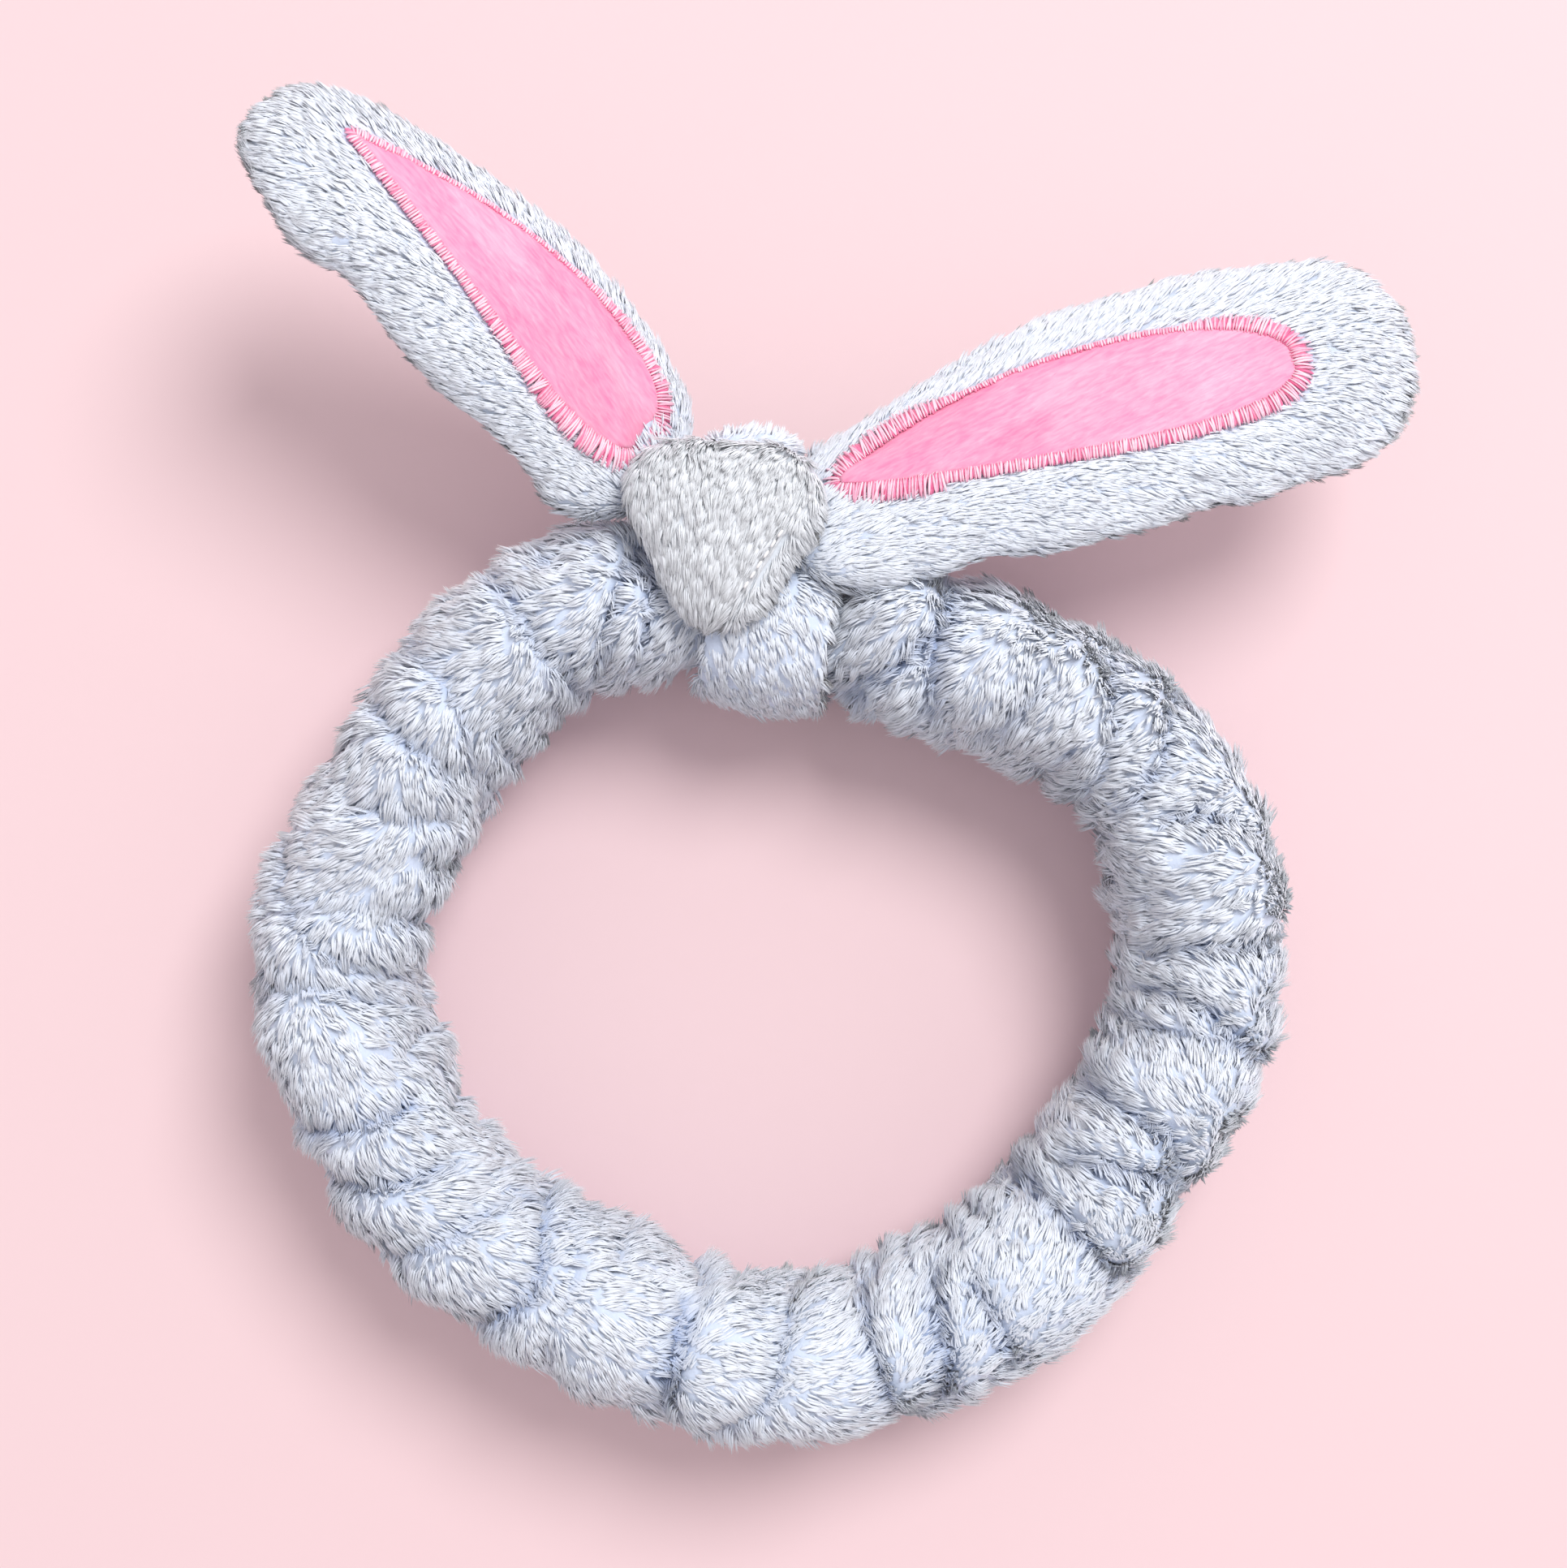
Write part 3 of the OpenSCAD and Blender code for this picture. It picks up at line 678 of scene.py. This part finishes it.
def ear_line(side):
    """The ear's root, the way to its tip and the way across it, from its own hinge and nodes."""
    hinge = FLOPS[f"{side}_ear"]
    root = np.array(hinge["pos_m"])
    across = unit(-np.array(hinge["axis"], float))
    co = points(nodes[f"{side}_ear_wadding"].data)
    tip = co[np.argmax(np.linalg.norm(co - root, axis=1))]
    along = unit(tip - root)
    across = unit(across - along * (across @ along))
    return root, along, across, np.cross(along, across)


ear_skin = {}
for side in ("left", "right"):
    root, along, across, _ = ear_line(side)
    ear_skin[side] = padded_piece(
        f"{side}_ear_fleece", [f"{side}_ear_{part}" for part in ("front", "back", "wadding", "seam")],
        voxel=1.5 * MM, inset=0.6 * MM, pressure=3.0, cap=1.2 * MM, body=f"{side}_ear",
        material=fleece_ground, held=lambda co, r=root, a=along: (co - r) @ a < 2 * MM)
    # Wadding never lies quite even, so away from the inner ear the skin has soft lumps and a wavy edge.
    inner_ear = points(nodes[f"{side}_ear_satin"].data)
    sewn = KDTree(len(inner_ear))
    for i, p in enumerate(inner_ear):
        sewn.insert(p, i)
    sewn.balance()
    co, out = points(ear_skin[side].data), normals(ear_skin[side].data)
    x, y = (co - root) @ along / MM, (co - root) @ across / MM
    lumps = 0.7 * np.sin(x / 7 + 1.6 * np.sin(y / 8) + len(side)) * np.cos(y / 7 - x / 17)
    edge = 0.7 * np.sin(x / 4.6 + 1.3 * np.sin(x / 11)) * smooth_step((np.abs(y) - 12) / 8)
    free = smooth_step((np.fromiter((sewn.find(p)[2] for p in co), float, len(co)) - 3 * MM) / (6 * MM))
    place_points(ear_skin[side].data, co + out * ((lumps + edge) * free * MM)[:, None])

# %% [markdown]
# ## The knot
# The strip's turn round the band shows as a plump lump at the inside edge. Its front
# fold lies on top, a rounded triangle whose nap falls to the point.

# %% Knot pieces
loop_piece = padded_piece("knot_loop_fleece", ["knot_loop"], voxel=1.2 * MM, inset=0.8 * MM, pressure=2.0,
                          cap=1.5 * MM, body="band", material=fleece_ground)
grow_pile("knot_loop_pile", loop_piece, 16_000, 4.0 * MM, 0.6 * MM,
          lambda p, n: np.tile([0.25, -0.9, -0.3], (len(p), 1)), fleece_pile, "band", "fleece", 71,
          lift=0.45, mess=0.18, clump=10, gather=0.5)
flap_low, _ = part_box("knot_flap")
flap = padded_piece("knot_flap_fleece", ["knot_flap"], voxel=1.2 * MM, inset=0.2 * MM, pressure=2.0,
                    cap=1.5 * MM, body="band", material=knot_ground)
# The fold sags on to the strip's turn beneath it, so its underside is drawn down there.
FLAP_SAG = 3.2 * MM
co = points(flap.data)
beside_turn = np.abs(co[:, 0] + 2 * MM)
over_turn = smooth_step((18 * MM - beside_turn) / (10 * MM)) * smooth_step((98 * MM - co[:, 1]) / (8 * MM))
co[:, 2] -= FLAP_SAG * smooth_step(0.3 - normals(flap.data)[:, 2]) * over_turn
place_points(flap.data, co)
hem = points(nodes["knot_hem_stitches"].data)
hem_low, hem_high = hem[np.argmin(hem[:, 1])], hem[np.argmax(hem[:, 1])]
hem_along = unit((hem_high - hem_low) * [1, 1, 0])
hem_out = np.array([hem_along[1], -hem_along[0], 0])
flap_point = np.array([-9.5, flap_low.y * 1000 - 4, 48]) * MM


def flap_nap(p, n):
    """The nap falls to the fold's point, and beyond the hem it stands out as a fringe."""
    fall = unit(flap_point - p) + [-0.25, -0.2, 0]
    off = ((p - hem_low) @ hem_out)[:, None]
    beside = smooth_step(1 + off / (6 * MM))
    beyond = smooth_step(off / (1.2 * MM))
    return (fall * (1 - beside) - hem_along * beside) * (1 - beyond) + (hem_out - 0.2 * hem_along) * beyond


def beside_hem(p, n):
    """Pile grows beside the hem's thread, not under it, and not under the fold."""
    off = (p - hem_low) @ hem_out
    far = (p - hem_low) @ hem_along
    on_hem = (np.abs(off) < 0.3 * MM) & (far > -1.5 * MM) & (far < np.ptp(hem @ hem_along) + 1.5 * MM)
    return ~on_hem & (n[:, 2] > -0.6)


grow_pile("knot_flap_pile", flap, 26_000, 4.6 * MM, 0.44 * MM, flap_nap, knot_pile,
          "band", "knot_fleece", 81, lift=0.26, mess=0.10, clump=14, gather=0.3, soften=0.52,
          flat=0.3, bow=0.09, sink=0.5 * MM, keep=beside_hem)
# The strip's outer turn is swollen until it is as plump as the necks beside it.
STRAP_SWELL = np.array([1.9, 1.6, 1.0])
strap = padded_piece("knot_back_fleece", ["knot_back_strap"], voxel=1.0 * MM, inset=0.6 * MM, pressure=0,
                     cap=0, body="band", material=fleece_ground)
co = points(strap.data)
middle = (co.min(0) + co.max(0)) / 2
place_points(strap.data, middle + (co - middle) * STRAP_SWELL)
grow_pile("knot_back_pile", strap, 7_000, 3.6 * MM, 0.55 * MM,
          lambda p, n: np.tile([0.15, 0.0, -1.0], (len(p), 1)), fleece_pile, "band", "fleece", 91,
          keep=lambda p, n: p[:, 2] < flap_low.z - 1 * MM, **PLUMP)

# %% [markdown]
# ## Necks and ear roots
# The strip narrows to a soft neck between the knot and each ear. The fleece over it crosses
# the joint and is attached to no body. It starts as a ball, squared and laid along the ear's own root.

# %% Necks and roots
for side in ("left", "right"):
    neck = padded_piece(f"{side}_neck_fleece", [f"{side}_ear_neck"], voxel=1.0 * MM, inset=0, pressure=0,
                        cap=0, body=f"{side}_neck", material=fleece_ground)
    outward = -1.0 if side == "left" else 1.0
    # The front fold and the ear's root lie on top, so pile grows only on the sides and below.
    grow_pile(f"{side}_neck_pile", neck, 4_000, 3.4 * MM, 0.55 * MM,
              lambda p, n: np.tile([outward, 0.5, 0.0], (len(p), 1)), fleece_pile,
              f"{side}_neck", "fleece", 93, keep=lambda p, n: n[:, 2] < 0.3, **PLUMP)

ROOT_REACH, ROOT_DEEP = 12.5 * MM, 6.2 * MM
ROOT_HALF = {"left": (20.5 * MM, 17.0 * MM), "right": (15.0 * MM, 17.5 * MM)}
ROOT_MIDDLE = {"left": -1.5 * MM, "right": -3.5 * MM}


def ear_root(side, keep):
    """The fleece over one ear's root and its pile, lying over the joint between neck and ear."""
    root, along, across, face = ear_line(side)
    bpy.ops.object.select_all(action="DESELECT")
    bpy.ops.mesh.primitive_uv_sphere_add(segments=64, ring_count=32, radius=1)
    ball = bpy.context.object
    ball.name = ball.data.name = f"{side}_root_fleece"
    co = points(ball.data)
    squared = np.sign(co) * np.abs(co) ** 0.8
    x = ROOT_MIDDLE[side] + ROOT_REACH * squared[:, 0]
    # The root narrows towards the knot, and soft pleats gather there.
    narrow = 1 - 0.22 * smooth_step(-x / (12 * MM))
    y = np.where(squared[:, 1] > 0, *ROOT_HALF[side]) * squared[:, 1] * narrow
    z = ROOT_DEEP * squared[:, 2] * (1 + 0.1 * np.sin(squared[:, 1] * 7 + 1.0) * smooth_step(-x / (8 * MM)))
    place_points(ball.data, root + along * x[:, None] + across * y[:, None] + face * z[:, None])
    bpy.ops.object.mode_set(mode="EDIT")
    bpy.ops.mesh.select_all(action="SELECT")
    bpy.ops.mesh.normals_make_consistent(inside=False)
    bpy.ops.object.mode_set(mode="OBJECT")
    bpy.ops.object.shade_smooth()
    ball.data.materials.append(fleece_ground)
    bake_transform(ball)
    root_nap = lambda p, n: along + across * (((p - root) @ across) / (30 * MM))[:, None]
    for pile in grow_pile(f"{side}_root_pile", ball, 9_000, 4.0 * MM, 0.52 * MM, root_nap, fleece_pile,
                          None, "fleece", 95, keep=keep, **SLEEK):
        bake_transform(pile)

# %% [markdown]
# ## The pink inner ear
# A leaf of short satin plush lies on each ear, held by satin stitch. Its cloth has soft
# wrinkles and streaks where the nap has been brushed, so the colour is streaked noise
# and the wrinkles are real bumps in the mesh.

# %% Satin material
def noise(tree, place, scale, detail, twist=0.0):
    node = tree.nodes.new("ShaderNodeTexNoise")
    node.inputs["Scale"].default_value, node.inputs["Detail"].default_value = scale, detail
    node.inputs["Distortion"].default_value = twist
    tree.links.new(place, node.inputs["Vector"])
    return node.outputs["Fac"]


def satin_material(name, dark, light):
    made, tree, shader = new_material(name)
    # The nap's streaks run along the ear, so the pattern follows two numbers kept on the points.
    place = tree.nodes.new("ShaderNodeCombineXYZ")
    tree.links.new(sums(tree, "MULTIPLY", attribute(tree, "lengthwise"), 0.22), place.inputs[0])
    tree.links.new(attribute(tree, "crosswise"), place.inputs[1])
    streaks = noise(tree, place.outputs[0], 1500, 3, 0.4)
    brushed = noise(tree, place.outputs[0], 160, 2, 0.8)
    both = sums(tree, "ADD", sums(tree, "MULTIPLY", streaks, 0.5), sums(tree, "MULTIPLY", brushed, 0.5))
    two_tone(tree, both, dark, light, 0.34, 0.66)
    raised(tree, streaks, 0.6, 0.3 * MM)
    shader.inputs["Roughness"].default_value = 0.5
    shader.inputs["Sheen Weight"].default_value = 0.5
    shader.inputs["Specular IOR Level"].default_value = 0.4
    return made


pink_satin = satin_material("pink_satin", (0.93, 0.24, 0.45, 1), (1.0, 0.47, 0.64, 1))

# %% Satin leaves
ROUNDS, LEAVES, INNER_EAR = {}, {}, {}


RAY_START = 15 * MM  # well above every leaf and skin


def lay_on(skin, co, face, above):
    """Drops points along the ear's face on to its skin, then lifts each by its own height above it."""
    laid = []
    for p, lift in zip(co, above):
        hit, spot, _, _ = skin.ray_cast(Vector(p + face * RAY_START), Vector(-face))
        spot = spot if hit else skin.closest_point_on_mesh(Vector(p))[1]
        laid.append(np.array(spot[:]) + face * lift)
    return np.array(laid)


def rim_of(mesh, face):
    """The upper rim of a thin leaf, as points in order round it."""
    sharp = {}
    facing = {}
    for f in mesh.polygons:
        for key in f.edge_keys:
            facing.setdefault(key, []).append(np.array(f.normal))
    for (a, b), pair in facing.items():
        if len(pair) == 2 and pair[0] @ pair[1] < 0.6 and max(p @ face for p in pair) > 0.5:
            sharp.setdefault(a, []).append(b)
            sharp.setdefault(b, []).append(a)
    start = next(iter(sharp))
    order, before = [start], None
    while True:
        step = [v for v in sharp[order[-1]] if v != before and (v == start or v not in order)]
        if not step or (step[0] == start and len(order) > 2):
            break
        before = order[-1]
        order.append(step[0])
    return points(mesh)[order]


for side in ("left", "right"):
    root, along, across, face = ear_line(side)
    satin = hidden_copy(f"{side}_inner_ear", f"{side}_ear_satin")
    ROUNDS[side] = rim_of(satin.data, face)
    divide = satin.modifiers.new("Subdivision", "SUBSURF")
    divide.levels = divide.render_levels = 2
    only(satin)
    bpy.ops.object.modifier_apply(modifier="Subdivision")
    co = points(satin.data)
    x, y = (co - root) @ along, (co - root) @ across
    # The upper face stands 1.1 mm over the skin, and the lower face is sunk into it.
    above = (0.4 + 0.7 * normals(satin.data) @ face) * MM
    co = lay_on(ear_skin[side], co, face, above)
    near_root = 1 - smooth_step(x / (55 * MM))
    soft = 0.22 * np.sin(x / (5 * MM) + 1.8 * np.sin(y / (6 * MM))) * np.sin(y / (3.4 * MM) + x / (9 * MM))
    pulled = 0.7 * near_root * np.sin(y / (2.3 * MM) + 1.4 * np.sin(x / (11 * MM)))
    place_points(satin.data, co + face * ((soft + pulled) * MM)[:, None])
    LEAVES[side], INNER_EAR[side] = points(satin.data), satin
    mark(satin.data, "lengthwise", x)
    mark(satin.data, "crosswise", y)
    bpy.ops.object.shade_smooth()
    satin.data.materials.append(pink_satin)
    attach(satin, f"{side}_ear")
    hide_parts(f"{side}_ear_satin")
    print(satin.name, len(satin.data.vertices), "points, rim of", len(ROUNDS[side]))

# %% [markdown]
# ## Satin stitch
# A dense zigzag of shiny thread binds the leaf's edge to the fleece. Each stitch is one
# short bar with thinner ends, lying across the edge; the machine never lays two alike, so
# length, lean and tone differ a little.

# %% One stitch of thread, modelled by hand
def thread_shape():
    bpy.ops.mesh.primitive_cylinder_add(vertices=6, radius=0.5, depth=1, end_fill_type="TRIFAN",
                                        location=(0, 0, 0.5))
    bpy.ops.object.transform_apply(location=True, rotation=True, scale=True)
    bpy.ops.object.mode_set(mode="EDIT")
    for height in (0.22, 0.5, 0.78):
        bpy.ops.mesh.select_all(action="SELECT")
        bpy.ops.mesh.bisect(plane_co=(0, 0, height), plane_no=(0, 0, 1))
    bpy.ops.object.mode_set(mode="OBJECT")
    mesh = bpy.context.object.data
    for end in (0, 1):
        bpy.ops.object.mode_set(mode="EDIT")
        bpy.ops.mesh.select_all(action="DESELECT")
        bpy.ops.object.mode_set(mode="OBJECT")
        for v in mesh.vertices:
            v.select = abs(v.co.z - end) < 0.01
        bpy.ops.object.mode_set(mode="EDIT")
        bpy.ops.transform.resize(value=(0.45, 0.45, 1), center_override=(0, 0, end))
        bpy.ops.object.mode_set(mode="OBJECT")


thread = hand_made("thread", thread_shape)

# %% Satin stitch round each leaf
def thread_material(name, colour, dark):
    made, tree, shader = new_material(name)
    place = tree.nodes.new("ShaderNodeTexCoord").outputs["Object"]
    ply = sums(tree, "MULTIPLY", noise(tree, place, 1500, 2), 0.5)
    own = sums(tree, "MULTIPLY", attribute(tree, "tone"), 0.5)
    two_tone(tree, sums(tree, "ADD", ply, own), dark, colour, 0.2, 0.6)
    shader.inputs["Roughness"].default_value = 0.38
    shader.inputs["Sheen Weight"].default_value = 0.3
    return made


pink_thread = thread_material("pink_thread", (1.0, 0.70, 0.81, 1), (0.93, 0.36, 0.54, 1))
white_thread = thread_material("white_thread", (0.95, 0.95, 0.96, 1), (0.8, 0.82, 0.86, 1))
rose_thread = thread_material("rose_thread", (0.93, 0.27, 0.46, 1), (0.80, 0.13, 0.32, 1))


# How broad the border is, from the leaf's root at 0 to its tip at 1, on either side of the ear.
BORDERS = {
    "left": {"plus": ((0, 0.3, 0.6, 1), (1.25, 1.1, 0.42, 0.5)),
             "minus": ((0, 0.25, 0.45, 1), (1.2, 0.9, 0.2, 0.3))},
    "right": {"plus": ((0, 0.2, 0.35, 0.8, 0.92), (1.1, 1.0, 0.25, 0.3, 1.15)),
              "minus": ((0, 0.15, 0.25, 0.8, 0.95), (0.4, 0.5, 0.6, 0.65, 1.15))},
}


def satin_stitches(name, side, seed, material, step, length, thick, height):
    """One pass of stitches round a leaf, each from just inside its rim to the fleece beside it."""
    pick = np.random.default_rng(seed)
    root, along, across, face = ear_line(side)
    rim = lay_on(ear_skin[side], ROUNDS[side], face, np.full(len(ROUNDS[side]), 0.75 * MM))
    closed = np.vstack([rim, rim[:1]])
    went = np.r_[0, np.cumsum(np.linalg.norm(np.diff(closed, axis=0), axis=1))]
    at = np.arange(0, went[-1], step)
    n = len(at)
    at = at + pick.normal(0, 0.12, n) * step
    spot = lambda d: np.c_[[np.interp(d % went[-1], went, closed[:, k]) for k in range(3)]].T
    here = spot(at)
    ahead = unit(spot(at + 1.2 * MM) - spot(at - 1.2 * MM))
    out = unit(np.cross(ahead, face))
    if ((here - rim.mean(0)) * out).sum() < 0:
        out = -out
    lean = ahead * pick.normal(0.06, 0.12, n)[:, None]
    stretch = 1 + 0.12 * np.sin(at / (9 * MM)) + pick.normal(0, 0.06, n)
    far = (here - root) @ along
    share = (far - far.min()) / np.ptp(far)
    plus, minus = (np.interp(share, *BORDERS[side][edge]) for edge in ("plus", "minus"))
    broad = stretch * np.where((here - rim.mean(0)) @ across > 0, plus, minus)
    bite = 0.55 * MM * pick.uniform(0.5, 1.5, n)
    inner = here - (out + lean) * bite[:, None] + face * (0.4 * MM + height)
    outer = here + (out + lean) * (length * broad)[:, None]
    # The far ends sink into the pile, but never far below the leaf.
    skin = ear_skin[side]
    landed = np.array([skin.closest_point_on_mesh(Vector(p))[1][:] for p in outer])
    drop = np.clip(((landed - outer) * face).sum(1), -1.1 * MM, 0.6 * MM)
    outer = outer + face * (drop + 0.55 * MM + height)[:, None]
    piece = stamp(name, thread, inner, outer, np.tile(face, (n, 1)), thick * pick.uniform(0.85, 1.2, n),
                  0.13, 0.8, 0.0)
    mark(piece.data, "tone", np.repeat(pick.random(n), len(thread[0])))
    piece.data.materials.append(material)
    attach(piece, f"{side}_ear")
    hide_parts(f"{side}_ear_satin_stitch")
    for step_in in (0.3, 0.65):
        LEAVES[side] = np.vstack([LEAVES[side], inner + (outer - inner) * step_in])
    print(f"{name}: {n} stitches round {went[-1] * 1000:.0f} mm")


def hem_dashes():
    """White running stitches along the fold's hem, each lying on the cloth."""
    step, above = 2.4 * MM, 1.7 * MM
    count = int(np.ptp(hem @ hem_along) / step)
    ends = []
    for share in (0.15, 0.85):
        spots = hem_low + hem_along * ((np.arange(count) + share) * step)[:, None] + [0, 0, 2 * MM]
        landed = [flap.closest_point_on_mesh(Vector(p)) for p in spots]
        ends.append(np.array([p[1][:] for p in landed]) + np.array([p[2][:] for p in landed]) * above)
    piece = stamp("knot_hem_thread", thread, ends[0], ends[1], np.tile([0.0, 0, 1], (count, 1)),
                  np.full(count, 0.6 * MM), 0.1, 0.8, 0.0)
    mark(piece.data, "tone", np.ones(len(piece.data.vertices)))
    piece.data.materials.append(white_thread)
    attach(piece, "band")
    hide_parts("knot_hem_stitches")
    print("hem dashes:", count)


hem_dashes()
for side, seed in (("left", 101), ("right", 111)):
    # The machine's first pass lays a deep rose bed, and its second pass the pale thread on it.
    satin_stitches(f"{side}_stitch_bed", side, seed, rose_thread,
                   step=0.55 * MM, length=2.9 * MM, thick=0.75 * MM, height=0)
    satin_stitches(f"{side}_satin_stitches", side, seed + 1, pink_thread,
                   step=0.58 * MM, length=3.3 * MM, thick=0.46 * MM, height=0.3 * MM)

# %% [markdown]
# ## Pile of the ears and their roots
# The nap runs from root to tip and spreads towards the edges. No pile grows under the leaf,
# and the pile beside it reaches the outer ends of its stitches.

# %% The ears' pile
for side in ("left", "right"):
    root, along, across, face = ear_line(side)
    on_face = lambda p, r=root, a=along, c=across: np.c_[(p - r) @ a, (p - r) @ c, np.zeros(len(p))]
    covered = KDTree(len(LEAVES[side]))
    for i, p in enumerate(on_face(LEAVES[side])):
        covered.insert(p, i)
    covered.balance()

    def ear_nap(p, n, r=root, a=along, c=across):
        off = ((p - r) @ c) / (20 * MM)
        return a + c * (0.75 * off)[:, None]

    def beside_leaf(p, n, tree=covered, flat_on=on_face, f=face, leaf=INNER_EAR[side]):
        far = np.fromiter((tree.find(q)[2] for q in flat_on(p)), float, len(p))
        under = np.array([leaf.ray_cast(Vector(q + f * RAY_START), Vector(-f))[0] for q in p])
        return ((far > 0.35 * MM) & ~under) | (n @ f < 0)

    ear_root(side, beside_leaf)
    grow_pile(f"{side}_ear_pile", ear_skin[side], 50_000, 4.0 * MM, 0.52 * MM, ear_nap, fleece_pile,
              f"{side}_ear", "fleece", 51 if side == "left" else 61, keep=beside_leaf,
              order=lambda p, f=face, r=root: (p - r) @ f, **SLEEK)

# %% [markdown]
# ## Threads and elastic inside
# The seams' thread and the woven elastic stay as the hidden frame has them, for they are
# closed in by the fleece. The elastic is ribbed: cords of rubber run along it, and fine
# yarn crosses them, so two sets of waves are laid over each other.

# %% Materials on the nodes that stay
def woven_material(name, yarn, gap):
    made, tree, shader = new_material(name)
    place = tree.nodes.new("ShaderNodeTexCoord").outputs["Object"]
    heights = []
    for way, scale in (("Z", 260), ("DIAGONAL", 340)):
        rib = tree.nodes.new("ShaderNodeTexWave")
        rib.wave_type, rib.bands_direction = "BANDS", way
        rib.inputs["Scale"].default_value = scale
        rib.inputs["Distortion"].default_value = 0.4
        tree.links.new(place, rib.inputs["Vector"])
        heights.append(rib.outputs["Fac"])
    weave = sums(tree, "MULTIPLY", heights[0], heights[1])
    two_tone(tree, weave, gap, yarn)
    raised(tree, weave, 1.0, 0.4 * MM)
    shader.inputs["Roughness"].default_value = 0.65
    return made


woven_elastic = woven_material("woven_elastic", (0.90, 0.90, 0.91, 1), (0.55, 0.56, 0.60, 1))
for name, node in nodes.items():
    if not node.hide_render:
        node.data.materials.clear()
        node.data.materials.append(woven_elastic if name == "elastic_band" else white_thread)
print("kept nodes:", [n for n, o in nodes.items() if not o.hide_render])

# %% [markdown]
# ## Stage, light and camera
# The headband stands on a plain pale surface under one broad soft lamp, high to the
# right and above, and is seen straight down.

# %% Stage
bpy.context.scene.view_settings.view_transform = "Standard"
bpy.ops.object.select_all(action="DESELECT")
bpy.ops.mesh.primitive_plane_add(size=6, location=(0, 0, 0))
floor = bpy.context.object
floor.name = "floor"
FLOOR_COLOUR, ROOM_COLOUR, ROOM_LIGHT = (0.83, 0.625, 0.65, 1), (1.0, 0.94, 0.96, 1), 0.68
floor_look, _, floor_shader = new_material("pale_surface")
floor_shader.inputs["Base Color"].default_value = FLOOR_COLOUR
floor_shader.inputs["Roughness"].default_value = 0.7
floor.data.materials.append(floor_look)

world = bpy.data.worlds.new("soft_room")
bpy.context.scene.world = world
world.use_nodes = True
world.node_tree.nodes["Background"].inputs["Color"].default_value = ROOM_COLOUR
world.node_tree.nodes["Background"].inputs["Strength"].default_value = ROOM_LIGHT


def soft_lamp(name, place, aim, size, power, colour):
    bpy.ops.object.light_add(type="AREA", location=place)
    lamp = bpy.context.object
    lamp.name = name
    lamp.data.shape, lamp.data.size = "DISK", size
    lamp.data.energy, lamp.data.color = power, colour
    lamp.rotation_euler = (Vector(aim) - Vector(place)).to_track_quat("-Z", "Y").to_euler()
    return lamp


soft_lamp("key", (0.85, 1.2, 2.3), aim=(0, 0, 0), size=1.25, power=51, colour=(1.0, 0.99, 0.98))

CAMERA_PLACE = (2.3 * MM, 41 * MM, 600 * MM)
bpy.ops.object.camera_add(location=CAMERA_PLACE, rotation=(0, 0, 0))
camera = bpy.context.object
camera.data.sensor_width, camera.data.lens = 36, 65.3
bpy.context.scene.camera = camera
print("camera looks straight down from", round(camera.location.z, 2), "m")
